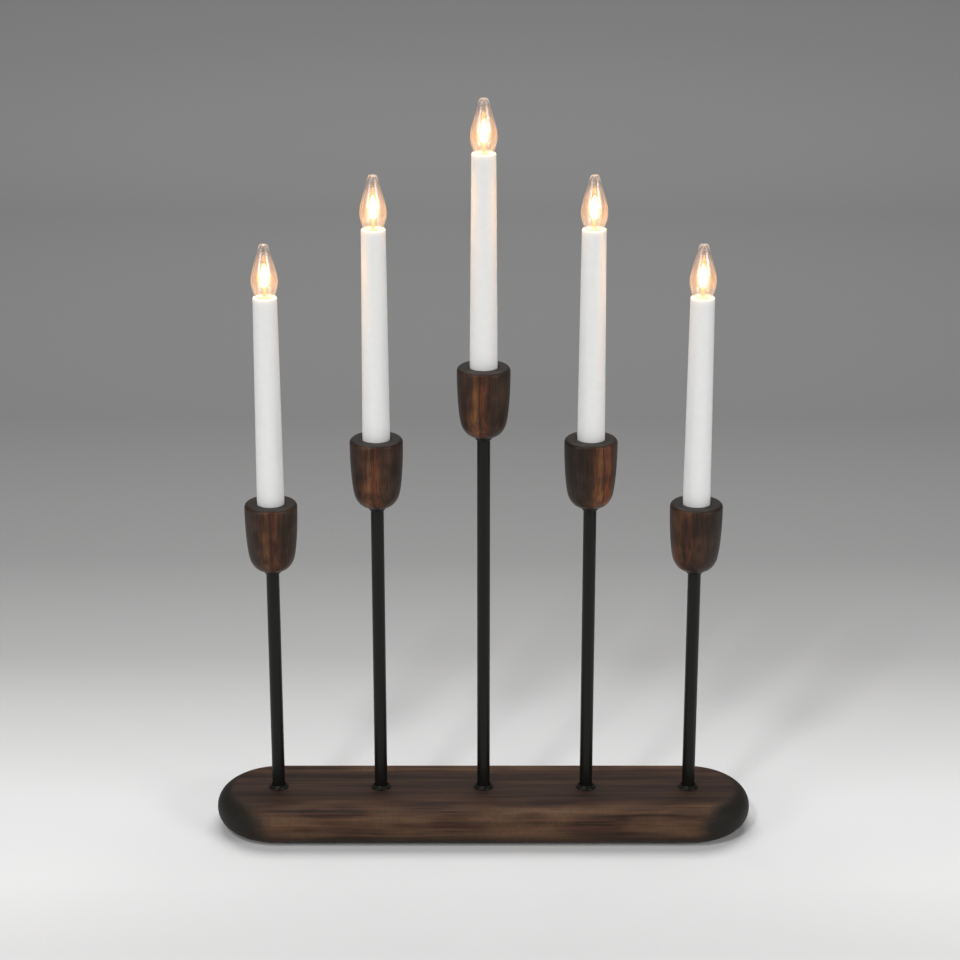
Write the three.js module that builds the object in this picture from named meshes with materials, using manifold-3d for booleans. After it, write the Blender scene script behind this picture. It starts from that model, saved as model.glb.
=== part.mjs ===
// A five-armed electric candle holder, in millimetres, +Z up.
// An oblong stained board carries five black steel tubes of three heights. Each tube holds a turned
// wooden cup, a white candle sleeve and a clear flame-shaped lamp that screws into a lamp holder.
// The cells, the switch and the leads are let into the underside of the board.
// The origin is the middle of the footprint, on the surface that the felt stands on.
import * as THREE from 'three';
import { mergeVertices } from 'three/addons/utils/BufferGeometryUtils.js';
import Module from 'manifold-3d';

// Clearances: between pieces that slip together, and around the trays in their pockets
const LOOSE_GAP = 0.3;
const POCKET_GAP = 0.5;

// How far a cutting tool runs past the face that it opens
const OVERRUN = 1;

// The row of arms, and the height of each cup's rim above the table
const ARM_COUNT = 5;
const ARM_PITCH = 65;
const MIDDLE_CUP_TOP = 304.6;
const INNER_CUP_TOP = 259.2;
const OUTER_CUP_TOP = 217.6;

// The board and the felt under it. The margin is the flat wood beside the battery box's flange,
// and the land is the least flat band left between the two rounded edges.
const FELT_THICKNESS = 1;
const FELT_INSET = 0.4;
const BOARD_THICKNESS = 24;
const BOARD_EDGE_ROUNDING = 11.5;
const BOARD_EDGE_LAND = 1;
const BOARD_MARGIN = 0.4;

// The steel tubes, with the bead that each cup stands on
const TUBE_DIAMETER = 8;
const TUBE_WALL = 1;
const TUBE_BELOW_NUT = 1.5;
const TUBE_ABOVE_SEAT = 2;
const BEAD_STANDS_OUT = 1.2;
const BEAD_HEIGHT = 1.7;

// The domed collar on top of the board, and the nut under it with room for a box spanner
const COLLAR_WIDTH = 1.9;
const COLLAR_HEIGHT = 2.2;
const COLLAR_EDGE_HEIGHT = 0.8;
const COLLAR_TOP_LAND = 0.4;
const NUT_WALL = 2.2;
const NUT_HEIGHT = 5;
const NUT_SPANNER_ROOM = 1.5;
const NUT_POCKET_DEPTH = 10;

// The turned wooden cup
const CUP_DIAMETER = 32.3;
const CUP_HEIGHT = 44.4;
const CUP_RIM_ROUNDING = 3.3;
const CUP_SEAT_DEPTH = 26;
const CUP_BORE_CHAMFER = 0.4;

// The candle sleeve, which is wider at its foot by the taper and whose lip hangs over the lamp holder
const SLEEVE_TAPER = 2.6;
const SLEEVE_LENGTH = 156.2;
const SLEEVE_WALL = 1.1;
const SLEEVE_LIP_THICKNESS = 1.5;
const SLEEVE_LIP_OVERHANG = 0.3;
const SLEEVE_LIP_ROUNDING = 0.9;

// The lamp holder inside the top of the sleeve
const HOLDER_WALL = 0.85;
const HOLDER_FLOOR = 2.4;

// The lamp: screw cap, clear envelope and the light guide inside it
const CAP_DIAMETER = 9.5;
const CAP_LENGTH = 11;
const CAP_WALL = 0.5;
const CAP_DROP = 2.2;
const CAP_CONE_LENGTH = 1.4;
const CAP_CONE_DIAMETER = 5;
const CAP_TIP_DIAMETER = 3.2;
const CAP_TIP_LENGTH = 1.2;
const CAP_THREAD_DEPTH = 0.35;
const CAP_THREAD_PITCH = 1.81;
const BULB_DIAMETER = 15.4;
const BULB_HEIGHT = 32.2;
const BULB_WALL = 0.8;
const NECK_INTO_CAP = 2.5;
const GUIDE_DIAMETER = 5.4;
const GUIDE_FOOT_DIAMETER = 3.6;
const GUIDE_HEADROOM = 8.6;
const GUIDE_BOTTOM = 3.5;

// Three cells of 10.5 by 44.5 mm in a box with a hinged door
const CELL_COUNT = 3;
const CELL_DIAMETER = 10.5;
const CELL_LENGTH = 44.5;
const CELL_NUB_DIAMETER = 3.8;
const CELL_NUB_LENGTH = 0.8;
const CELL_CHAMFER = 0.5;
const CELL_SPACING = 0.6;
const SPRING_SPACE = 3.2;
const SPRING_WIDE_DIAMETER = 6.7;
const SPRING_NARROW_DIAMETER = 3.8;
const BUTTON_SPACE = 0.9;
const BUTTON_WIDE_DIAMETER = 5.3;
const BUTTON_NARROW_DIAMETER = 3;
const CONTACT_THICKNESS = 0.4;
const CONTACT_HEIGHT = 8;
const BOX_WALL = 1.5;
const BOX_FLANGE_THICKNESS = 1.5;
const BOX_FLANGE_SIDE = 2.4;
const BOX_FLANGE_END = 1;
const BOX_RIB_THICKNESS = 0.8;
const BOX_RIB_DEPTH = 2.6;
const DOOR_THICKNESS = 2;
const DOOR_PIN_DIAMETER = 1;
const DOOR_PIN_LENGTH = 1;
const FINGER_NOTCH_DIAMETER = 12;
const FINGER_NOTCH_DEPTH = 1;
const DOOR_WINDOW_MARGIN = 0.8;

// The switch and timer board in its tray
const TRAY_LENGTH = 34;
const TRAY_WIDTH = 30;
const TRAY_WALL = 1.5;
const TRAY_FLANGE = 2;
const TRAY_POST = 3;
const CIRCUIT_THICKNESS = 1.6;
const CHIP_LENGTH = 6;
const CHIP_WIDTH = 4;
const CHIP_HEIGHT = 1.4;
const CAPACITOR_DIAMETER = 4;
const CAPACITOR_HEIGHT = 2.3;
const SWITCH_LENGTH = 13;
const SWITCH_WIDTH = 6.4;
const SLIDER_LENGTH = 2.6;
const SLIDER_WIDTH = 2.2;
const SLIDER_SHOE_LENGTH = 4.2;
const SLIDER_SHOE_WIDTH = 3.4;
const SLIDER_SHOE_THICKNESS = 1;
const SLIDER_TRAVEL = 4.4;
const SLIDER_RECESS = 0.5;
const SWITCH_LIP = 0.7;
const SWITCH_ROOF = 0.9;
const SWITCH_WINDOW_MARGIN = 2.2;

// The leads in their groove
const TRUNK_DIAMETER = 2.6;
const RISER_DIAMETER = 2.4;
const TAIL_DIAMETER = 1.3;
const GROOVE_SIDE_GAP = 1.2;
const TUBE_LEAD_HOLE_GAP = 0.8;

// How finely the round shapes are divided
const FINE_SIDES = 20;
const ROUND_SIDES = 16;
const SMALL_SIDES = 8;
const LEAD_SIDES = 6;
const BOARD_END_SIDES = 12;
const BOARD_EDGE_STEPS = 3;
const EDGE_ARC_STEPS = 2;
const CUP_OUTLINE_STEPS = 8;
const BULB_OUTLINE_STEPS = 7;

// The tube, and what holds it in the board
const TUBE_BORE = TUBE_DIAMETER - 2 * TUBE_WALL;
const TUBE_HOLE_DIAMETER = TUBE_DIAMETER + 2 * LOOSE_GAP;
const BEAD_DIAMETER = TUBE_DIAMETER + 2 * BEAD_STANDS_OUT;
const COLLAR_DIAMETER = TUBE_HOLE_DIAMETER + 2 * COLLAR_WIDTH;
const NUT_ACROSS_FLATS = TUBE_HOLE_DIAMETER + 2 * NUT_WALL;
const NUT_ACROSS_CORNERS = NUT_ACROSS_FLATS / Math.cos(Math.PI / 6);
const NUT_POCKET_DIAMETER = NUT_ACROSS_CORNERS + 2 * NUT_SPANNER_ROOM;

// The sleeve closes on the lamp holder, and the holder on the lamp's cap
const HOLDER_BORE = CAP_DIAMETER + 2 * LOOSE_GAP;
const HOLDER_DIAMETER = HOLDER_BORE + 2 * HOLDER_WALL;
const SLEEVE_TOP_DIAMETER = HOLDER_DIAMETER + 2 * (LOOSE_GAP + SLEEVE_WALL);
const SLEEVE_FOOT_DIAMETER = SLEEVE_TOP_DIAMETER + SLEEVE_TAPER;
const SLEEVE_MOUTH_DIAMETER = HOLDER_DIAMETER - 2 * SLEEVE_LIP_OVERHANG;
const CUP_BORE_DIAMETER = SLEEVE_FOOT_DIAMETER + 2 * LOOSE_GAP;

// Heights in the board
const BOARD_BOTTOM = FELT_THICKNESS;
const BOARD_TOP = BOARD_BOTTOM + BOARD_THICKNESS;
const NUT_SEAT = BOARD_BOTTOM + NUT_POCKET_DEPTH;
const TUBE_FOOT = NUT_SEAT - NUT_HEIGHT - TUBE_BELOW_NUT;
const FLANGE_TOP = BOARD_BOTTOM + BOX_FLANGE_THICKNESS;

const CELL_PITCH = CELL_DIAMETER + CELL_SPACING;
const BOX_INNER_X = CELL_COUNT * CELL_PITCH + CELL_SPACING;
const BOX_INNER_Y = CELL_LENGTH + SPRING_SPACE + BUTTON_SPACE + 2 * LOOSE_GAP;
const BOX_OUTER_X = BOX_INNER_X + 2 * BOX_WALL;
const BOX_OUTER_Y = BOX_INNER_Y + 2 * BOX_WALL;
const DOOR_TOP = BOARD_BOTTOM + DOOR_THICKNESS;
const CELL_CENTRE_Z = DOOR_TOP + LOOSE_GAP + CELL_DIAMETER / 2;
const BOX_CEILING = CELL_CENTRE_Z + CELL_DIAMETER / 2 + LOOSE_GAP;
const BOX_TOP = BOX_CEILING + BOX_WALL;
const BOX_FLANGE_X = BOX_OUTER_X + 2 * BOX_FLANGE_SIDE;
const BOX_FLANGE_Y = BOX_OUTER_Y + 2 * BOX_FLANGE_END;

// The board's flat underside is just wide enough for the battery box, and its ends are half rounds
const BOARD_EDGE_RADIUS = Math.min(BOARD_EDGE_ROUNDING, (BOARD_THICKNESS - BOARD_EDGE_LAND) / 2);
const BOARD_WIDTH = BOX_FLANGE_Y + 2 * (BOARD_MARGIN + BOARD_EDGE_RADIUS);
const BOARD_LENGTH = (ARM_COUNT - 1) * ARM_PITCH + BOARD_WIDTH;

// The battery box and the switch tray lie halfway between arms, right and left of the middle
const BOX_CENTRE_X = armX(Math.floor(ARM_COUNT / 2) + 0.5);
const TRAY_CENTRE_X = armX(Math.ceil(ARM_COUNT / 2) - 1.5);

const SWITCH_BOTTOM = FLANGE_TOP + LOOSE_GAP;
const SHOE_BOTTOM = SWITCH_BOTTOM + SWITCH_LIP + LOOSE_GAP;
const SHOE_TOP = SHOE_BOTTOM + SLIDER_SHOE_THICKNESS;
const CIRCUIT_BOTTOM = SHOE_TOP + LOOSE_GAP + SWITCH_ROOF;
const CIRCUIT_TOP = CIRCUIT_BOTTOM + CIRCUIT_THICKNESS;
const TRAY_TOP = CIRCUIT_TOP + CAPACITOR_HEIGHT + 2 * LOOSE_GAP;
const SLOT_LENGTH = SLIDER_LENGTH + SLIDER_TRAVEL;

const TRUNK_Z = BOX_TOP + 2 * LOOSE_GAP + TRUNK_DIAMETER / 2;
const GROOVE_TOP = TRUNK_Z + TRUNK_DIAMETER / 2 + LOOSE_GAP;
const GROOVE_WIDTH = TRUNK_DIAMETER + 2 * GROOVE_SIDE_GAP;
const LEAD_HOLE_DIAMETER = TRUNK_DIAMETER + 2 * TUBE_LEAD_HOLE_GAP;

// Outline of the turned cup below its rim, as shares of its radius and of its height above its foot
const CUP_OUTLINE = [
  [0.998, 0.82],
  [0.976, 0.66],
  [0.94, 0.48],
  [0.89, 0.3],
  [0.81, 0.165],
  [0.645, 0.07],
  [0.44, 0.018],
];

// Outline of the bead from its foot up, as shares of how far it stands out and of its height
const BEAD_OUTLINE = [
  [0, 0],
  [1, 0.4],
  [1, 0.8],
  [0.8, 1],
];

// Outline of the light guide above its foot, as shares of its radius and of its height
const GUIDE_OUTLINE = [
  [1, 0],
  [1, 0.5],
  [0.8, 0.85],
  [0.4, 0.97],
  [0, 1],
];

// Outline of the clear envelope, as shares of its radius and of its height above the sleeve's top
const BULB_OUTLINE = [
  [0.78, 0.035],
  [0.89, 0.125],
  [0.995, 0.25],
  [0.985, 0.35],
  [0.84, 0.53],
  [0.62, 0.74],
  [0.4, 0.91],
  [0.26, 0.98],
];

const wasm = await Module();
wasm.setup();

// Keeps only positions, joins shared vertices and drops triangles that have closed up on the axis
function closedGeometry(geometry) {
  const bare = geometry.clone();
  for (const name of Object.keys(bare.attributes)) {
    if (name !== 'position') bare.deleteAttribute(name);
  }
  const merged = mergeVertices(bare, 1e-4);
  const corners = merged.index.array;
  const kept = [];
  for (let i = 0; i < corners.length; i += 3) {
    const [a, b, c] = [corners[i], corners[i + 1], corners[i + 2]];
    if (a !== b && b !== c && c !== a) kept.push(a, b, c);
  }
  merged.setIndex(kept);
  return merged;
}

function toSolid(geometry) {
  const closed = closedGeometry(geometry);
  const vertProperties = new Float32Array(closed.attributes.position.array);
  const triVerts = new Uint32Array(closed.index.array);
  return new wasm.Manifold(new wasm.Mesh({ numProp: 3, vertProperties, triVerts }));
}

function toGeometry(solid) {
  const mesh = solid.getMesh();
  const geometry = new THREE.BufferGeometry();
  geometry.setAttribute('position', new THREE.BufferAttribute(mesh.vertProperties, 3));
  geometry.setIndex(new THREE.BufferAttribute(mesh.triVerts, 1));
  return geometry;
}

// Joins the pieces of one body, then cuts the tools out of it
function shapeBody(joined, cuts = []) {
  let body = toSolid(joined[0]);
  for (const piece of joined.slice(1)) {
    body = body.add(toSolid(piece));
  }
  for (const tool of cuts) {
    body = body.subtract(toSolid(tool));
  }
  return toGeometry(body);
}

// A turned body about the Z axis, from [radius, height] points that run up the outside
function turned(profile, sides) {
  const points = profile.map(([radius, height]) => new THREE.Vector2(radius, height));
  const geometry = new THREE.LatheGeometry(points, sides);
  geometry.rotateX(Math.PI / 2);
  return geometry;
}

function boxBetween(low, high) {
  const size = high.map((value, axis) => value - low[axis]);
  const geometry = new THREE.BoxGeometry(...size);
  return geometry.translate(...low.map((value, axis) => value + size[axis] / 2));
}

// A block centred on (x, y) with its own length and width, between two heights
function block(x, y, length, width, bottom, top) {
  const low = [x - length / 2, y - width / 2, bottom];
  return boxBetween(low, [x + length / 2, y + width / 2, top]);
}

function uprightRod(x, y, diameter, bottom, top, sides) {
  const geometry = new THREE.CylinderGeometry(diameter / 2, diameter / 2, top - bottom, sides);
  geometry.rotateX(Math.PI / 2);
  return geometry.translate(x, y, (bottom + top) / 2);
}

function rodAlongX(start, end, y, z, diameter, sides) {
  const geometry = new THREE.CylinderGeometry(diameter / 2, diameter / 2, end - start, sides);
  geometry.rotateZ(Math.PI / 2);
  return geometry.translate((start + end) / 2, y, z);
}

// Points of a quarter turn from one direction to another, with the angles in degrees from +X
function arcPoints(centreRadius, centreHeight, radius, from, to, steps) {
  const points = [];
  for (let i = 0; i <= steps; i += 1) {
    const angle = THREE.MathUtils.degToRad(from + ((to - from) * i) / steps);
    points.push([centreRadius + radius * Math.cos(angle), centreHeight + radius * Math.sin(angle)]);
  }
  return points;
}

// A smooth line through a few points, as evenly spaced [radius, height] points
function smoothPoints(points, steps) {
  const curve = new THREE.SplineCurve(points.map(([a, b]) => new THREE.Vector2(a, b)));
  return curve.getSpacedPoints(steps).map((point) => [point.x, point.y]);
}

// An oblong outline with round ends, centred on the origin
function oblongShape(length, width) {
  const radius = width / 2;
  const reach = length / 2 - radius;
  const shape = new THREE.Shape();
  shape.absarc(reach, 0, radius, -Math.PI / 2, Math.PI / 2, false);
  shape.absarc(-reach, 0, radius, Math.PI / 2, (3 * Math.PI) / 2, false);
  shape.closePath();
  return shape;
}

function rectanglePath(x, y, length, width) {
  const path = new THREE.Path();
  path.moveTo(x - length / 2, y - width / 2);
  path.lineTo(x - length / 2, y + width / 2);
  path.lineTo(x + length / 2, y + width / 2);
  path.lineTo(x + length / 2, y - width / 2);
  path.closePath();
  return path;
}

const model = new THREE.Group();

const finishes = {
  stainedWood: { color: 0x46302a, roughness: 0.55, metalness: 0 },
  turnedWood: { color: 0x4a3126, roughness: 0.5, metalness: 0 },
  blackSteel: { color: 0x232321, roughness: 0.45, metalness: 0.3 },
  zincSteel: { color: 0xa9abac, roughness: 0.4, metalness: 1 },
  whitePlastic: { color: 0xeae9e5, roughness: 0.45, metalness: 0 },
  blackPlastic: { color: 0x232426, roughness: 0.6, metalness: 0 },
  holderPlastic: { color: 0xd9d6cc, roughness: 0.5, metalness: 0 },
  brass: { color: 0xc9a55a, roughness: 0.3, metalness: 1 },
  clearPlastic: { color: 0xf6f3ee, roughness: 0.05, metalness: 0, transparent: true, opacity: 0.35 },
  lightGuide: { color: 0xfff1d8, roughness: 0.4, metalness: 0, emissive: 0xffdda6 },
  felt: { color: 0x2c2a29, roughness: 0.95, metalness: 0 },
  cellWrap: { color: 0x3f6b52, roughness: 0.4, metalness: 0 },
  springSteel: { color: 0xc4c5c3, roughness: 0.3, metalness: 1 },
  circuitBoard: { color: 0x2e6b3c, roughness: 0.5, metalness: 0 },
  leadSheath: { color: 0x8e8c86, roughness: 0.6, metalness: 0 },
};

function addPiece(name, geometry, finish) {
  const closed = closedGeometry(geometry);
  closed.computeVertexNormals();
  const mesh = new THREE.Mesh(closed, new THREE.MeshStandardMaterial(finishes[finish]));
  mesh.name = name;
  model.add(mesh);
  return mesh;
}

function armX(index) {
  return (index - (ARM_COUNT - 1) / 2) * ARM_PITCH;
}

// The rim height of each cup, from the middle of the row outwards
function cupTop(index) {
  const fromMiddle = Math.floor(Math.abs(index - (ARM_COUNT - 1) / 2));
  return [MIDDLE_CUP_TOP, INNER_CUP_TOP][fromMiddle] ?? OUTER_CUP_TOP;
}

// The board: a solid oblong plank with rounded edges, bored for the tubes and routed from below
function makeBoard() {
  const coreLength = BOARD_LENGTH - 2 * BOARD_EDGE_RADIUS;
  const coreWidth = BOARD_WIDTH - 2 * BOARD_EDGE_RADIUS;
  const plank = new THREE.ExtrudeGeometry(oblongShape(coreLength, coreWidth), {
    depth: BOARD_THICKNESS - 2 * BOARD_EDGE_RADIUS,
    bevelEnabled: true,
    bevelThickness: BOARD_EDGE_RADIUS,
    bevelSize: BOARD_EDGE_RADIUS,
    bevelSegments: BOARD_EDGE_STEPS,
    curveSegments: BOARD_END_SIDES,
  });
  plank.translate(0, 0, BOARD_BOTTOM + BOARD_EDGE_RADIUS);

  const below = BOARD_BOTTOM - OVERRUN;
  const cuts = [];
  for (let arm = 0; arm < ARM_COUNT; arm += 1) {
    const x = armX(arm);
    cuts.push(uprightRod(x, 0, TUBE_HOLE_DIAMETER, below, BOARD_TOP + OVERRUN, ROUND_SIDES));
    cuts.push(uprightRod(x, 0, NUT_POCKET_DIAMETER, below, NUT_SEAT, ROUND_SIDES));
  }
  const grooveEnd = armX(ARM_COUNT - 1) + GROOVE_WIDTH / 2;
  cuts.push(block(0, 0, 2 * grooveEnd, GROOVE_WIDTH, below, GROOVE_TOP));

  const boxX = BOX_OUTER_X + 2 * POCKET_GAP;
  const boxY = BOX_OUTER_Y + 2 * POCKET_GAP;
  cuts.push(block(BOX_CENTRE_X, 0, boxX, boxY, below, BOX_TOP + LOOSE_GAP));
  const boxRebateX = BOX_FLANGE_X + 2 * LOOSE_GAP;
  const boxRebateY = BOX_FLANGE_Y + 2 * LOOSE_GAP;
  cuts.push(block(BOX_CENTRE_X, 0, boxRebateX, boxRebateY, below, FLANGE_TOP));

  const trayX = TRAY_LENGTH + 2 * POCKET_GAP;
  const trayY = TRAY_WIDTH + 2 * POCKET_GAP;
  cuts.push(block(TRAY_CENTRE_X, 0, trayX, trayY, below, TRAY_TOP + LOOSE_GAP));
  const trayRebate = 2 * TRAY_FLANGE + 2 * LOOSE_GAP;
  cuts.push(block(TRAY_CENTRE_X, 0, TRAY_LENGTH + trayRebate, TRAY_WIDTH + trayRebate, below, FLANGE_TOP));
  addPiece('base_board', shapeBody([plank], cuts), 'stainedWood');
}

// Felt on the flat underside, with windows for the battery door and the switch
function makeFelt() {
  const inset = 2 * (BOARD_EDGE_RADIUS + FELT_INSET);
  const shape = oblongShape(BOARD_LENGTH - inset, BOARD_WIDTH - inset);
  const doorWindowX = BOX_INNER_X + 2 * DOOR_WINDOW_MARGIN;
  const doorWindowY = BOX_INNER_Y + 2 * DOOR_WINDOW_MARGIN;
  shape.holes.push(rectanglePath(BOX_CENTRE_X, 0, doorWindowX, doorWindowY));
  const switchWindowX = SLOT_LENGTH + 2 * SWITCH_WINDOW_MARGIN;
  const switchWindowY = SLIDER_WIDTH + 2 * SWITCH_WINDOW_MARGIN;
  shape.holes.push(rectanglePath(TRAY_CENTRE_X, 0, switchWindowX, switchWindowY));
  const felt = new THREE.ExtrudeGeometry(shape, {
    depth: FELT_THICKNESS,
    bevelEnabled: false,
    curveSegments: ROUND_SIDES,
  });
  addPiece('felt_pad', felt, 'felt');
}

// A steel tube with a rolled bead under the cup and a cross hole for the leads
function makeTube(number, x, rimHeight) {
  const radius = TUBE_DIAMETER / 2;
  const bore = TUBE_BORE / 2;
  const cupFoot = rimHeight - CUP_HEIGHT;
  const top = rimHeight - CUP_SEAT_DEPTH + TUBE_ABOVE_SEAT;
  const beadFoot = cupFoot - BEAD_HEIGHT;
  const bead = BEAD_OUTLINE.map(([out, up]) => [radius + BEAD_STANDS_OUT * out, beadFoot + BEAD_HEIGHT * up]);
  const profile = [
    [bore, TUBE_FOOT],
    [radius, TUBE_FOOT],
    ...bead,
    [radius, cupFoot],
    [radius, top],
    [bore, top],
    [bore, TUBE_FOOT],
  ];
  const tube = turned(profile, ROUND_SIDES);
  const past = radius + OVERRUN;
  const hole = rodAlongX(-past, past, 0, TRUNK_Z, LEAD_HOLE_DIAMETER, SMALL_SIDES);
  const geometry = shapeBody([tube], [hole]);
  addPiece(`stem_tube_${number}`, geometry, 'blackSteel').position.x = x;
}

// The domed collar where a tube enters the board
function makeCollar(number, x) {
  const hole = TUBE_HOLE_DIAMETER / 2;
  const outer = COLLAR_DIAMETER / 2;
  const top = BOARD_TOP + COLLAR_HEIGHT;
  const domeWidth = COLLAR_WIDTH - COLLAR_TOP_LAND;
  const domeHeight = COLLAR_HEIGHT - COLLAR_EDGE_HEIGHT;
  const quarter = arcPoints(0, 0, 1, 0, 90, EDGE_ARC_STEPS + 1);
  const dome = quarter.map(([out, up]) => [outer - domeWidth * (1 - out), top - domeHeight * (1 - up)]);
  const profile = [[hole, BOARD_TOP], [outer, BOARD_TOP], ...dome, [hole, top], [hole, BOARD_TOP]];
  addPiece(`foot_collar_${number}`, turned(profile, ROUND_SIDES), 'blackSteel').position.x = x;
}

// The hexagon nut that clamps the tube to the board from below
function makeNut(number, x) {
  const shape = new THREE.Shape();
  const corner = NUT_ACROSS_CORNERS / 2;
  for (let i = 0; i < 6; i += 1) {
    const angle = (i * Math.PI) / 3;
    shape[i === 0 ? 'moveTo' : 'lineTo'](corner * Math.cos(angle), corner * Math.sin(angle));
  }
  shape.closePath();
  const hole = new THREE.Path();
  hole.absarc(0, 0, TUBE_HOLE_DIAMETER / 2, 0, 2 * Math.PI, true);
  shape.holes.push(hole);
  const options = { depth: NUT_HEIGHT, bevelEnabled: false, curveSegments: ROUND_SIDES / 2 };
  const nut = new THREE.ExtrudeGeometry(shape, options);
  nut.translate(0, 0, NUT_SEAT - NUT_HEIGHT);
  addPiece(`stem_nut_${number}`, nut, 'zincSteel').position.x = x;
}

// The turned cup: flat rim, rounded edge, slight taper and a rounded foot around the tube
function makeCup(number, x, rimHeight) {
  const radius = CUP_DIAMETER / 2;
  const foot = rimHeight - CUP_HEIGHT;
  const seat = rimHeight - CUP_SEAT_DEPTH;
  const bore = CUP_BORE_DIAMETER / 2;
  const tubeHole = TUBE_HOLE_DIAMETER / 2;
  const footFlat = (tubeHole + BEAD_DIAMETER / 2) / 2;
  const rounding = Math.min(CUP_RIM_ROUNDING, radius - bore - 2 * CUP_BORE_CHAMFER);
  const rimArc = arcPoints(radius - rounding, rimHeight - rounding, rounding, 0, 90, EDGE_ARC_STEPS);
  const body = CUP_OUTLINE.map(([share, height]) => [radius * share, foot + CUP_HEIGHT * height]);
  const outline = smoothPoints([rimArc[0], ...body, [footFlat, foot]], CUP_OUTLINE_STEPS).reverse();
  const profile = [
    [tubeHole, foot],
    ...outline,
    ...rimArc.slice(1),
    [bore + CUP_BORE_CHAMFER, rimHeight],
    [bore, rimHeight - CUP_BORE_CHAMFER],
    [bore, seat],
    [tubeHole, seat],
    [tubeHole, foot],
  ];
  addPiece(`cup_${number}`, turned(profile, FINE_SIDES), 'turnedWood').position.x = x;
}

// Half the sleeve's outside width at a height above its foot
function sleeveRadius(height) {
  const share = height / SLEEVE_LENGTH;
  return (SLEEVE_FOOT_DIAMETER + (SLEEVE_TOP_DIAMETER - SLEEVE_FOOT_DIAMETER) * share) / 2;
}

// The white candle sleeve: a tapered tube that closes in to a rounded lip around the lamp
function makeSleeve(number, x, rimHeight) {
  const foot = rimHeight - CUP_SEAT_DEPTH;
  const top = foot + SLEEVE_LENGTH;
  const underLip = top - SLEEVE_LIP_THICKNESS;
  const lipTurn = SLEEVE_LIP_ROUNDING;
  const outerTop = SLEEVE_TOP_DIAMETER / 2;
  const mouth = SLEEVE_MOUTH_DIAMETER / 2;
  const innerFoot = SLEEVE_FOOT_DIAMETER / 2 - SLEEVE_WALL;
  const innerTop = sleeveRadius(SLEEVE_LENGTH - SLEEVE_LIP_THICKNESS) - SLEEVE_WALL;
  const profile = [
    [innerFoot, foot],
    [SLEEVE_FOOT_DIAMETER / 2, foot],
    ...arcPoints(outerTop - lipTurn, top - lipTurn, lipTurn, 0, 90, EDGE_ARC_STEPS),
    [mouth, top],
    [mouth, underLip],
    [innerTop, underLip],
    [innerFoot, foot],
  ];
  addPiece(`candle_sleeve_${number}`, turned(profile, FINE_SIDES), 'whitePlastic').position.x = x;
}

// Heights of the lamp and its holder, measured from the top of the sleeve
const CAP_TOP = -CAP_DROP;
const CAP_BOTTOM = CAP_TOP - CAP_LENGTH;
const CAP_FLOOR = CAP_BOTTOM + CAP_WALL;
const CAP_BORE = CAP_DIAMETER - 2 * (CAP_THREAD_DEPTH + CAP_WALL);
const NECK_DIAMETER = CAP_BORE - 2 * LOOSE_GAP;
const TIP_BOTTOM = CAP_BOTTOM - CAP_CONE_LENGTH - CAP_TIP_LENGTH;
const HOLDER_TOP = -SLEEVE_LIP_THICKNESS;
const HOLDER_SEAT = TIP_BOTTOM - LOOSE_GAP;
const HOLDER_BOTTOM = HOLDER_SEAT - HOLDER_FLOOR;
const GUIDE_TOP = BULB_HEIGHT - 2 * BULB_WALL - GUIDE_HEADROOM;

// The lamp holder: a thin socket pushed up against the underside of the sleeve's lip
function makeHolder(number, x, sleeveTop) {
  const bore = HOLDER_BORE / 2;
  const outer = HOLDER_DIAMETER / 2;
  const profile = [
    [0, HOLDER_BOTTOM],
    [outer, HOLDER_BOTTOM],
    [outer, HOLDER_TOP],
    [bore, HOLDER_TOP],
    [bore, HOLDER_SEAT],
    [0, HOLDER_SEAT],
  ];
  const holder = addPiece(`lamp_holder_${number}`, turned(profile, SMALL_SIDES), 'holderPlastic');
  holder.position.set(x, 0, sleeveTop);
}

// The lamp's screw cap, hollow for the neck, with its thread as rings and a contact at the tip
function makeCap(number, x, sleeveTop) {
  const crest = CAP_DIAMETER / 2;
  const root = crest - CAP_THREAD_DEPTH;
  const inner = CAP_BORE / 2;
  const profile = [
    [0, TIP_BOTTOM],
    [CAP_TIP_DIAMETER / 2, TIP_BOTTOM],
    [CAP_TIP_DIAMETER / 2, CAP_BOTTOM - CAP_CONE_LENGTH],
    [CAP_CONE_DIAMETER / 2, CAP_BOTTOM - CAP_CONE_LENGTH],
    [root, CAP_BOTTOM],
  ];
  const turns = Math.floor((CAP_LENGTH - CAP_THREAD_PITCH) / CAP_THREAD_PITCH);
  for (let i = 0; i < turns; i += 1) {
    const start = CAP_BOTTOM + i * CAP_THREAD_PITCH;
    profile.push([crest, start + CAP_THREAD_PITCH / 2]);
    profile.push([root, start + CAP_THREAD_PITCH]);
  }
  profile.push([crest, CAP_TOP - CAP_THREAD_DEPTH]);
  profile.push([crest, CAP_TOP], [inner, CAP_TOP], [inner, CAP_FLOOR], [0, CAP_FLOOR]);
  const cap = addPiece(`bulb_cap_${number}`, turned(profile, SMALL_SIDES), 'brass');
  cap.position.set(x, 0, sleeveTop);
}

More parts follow.
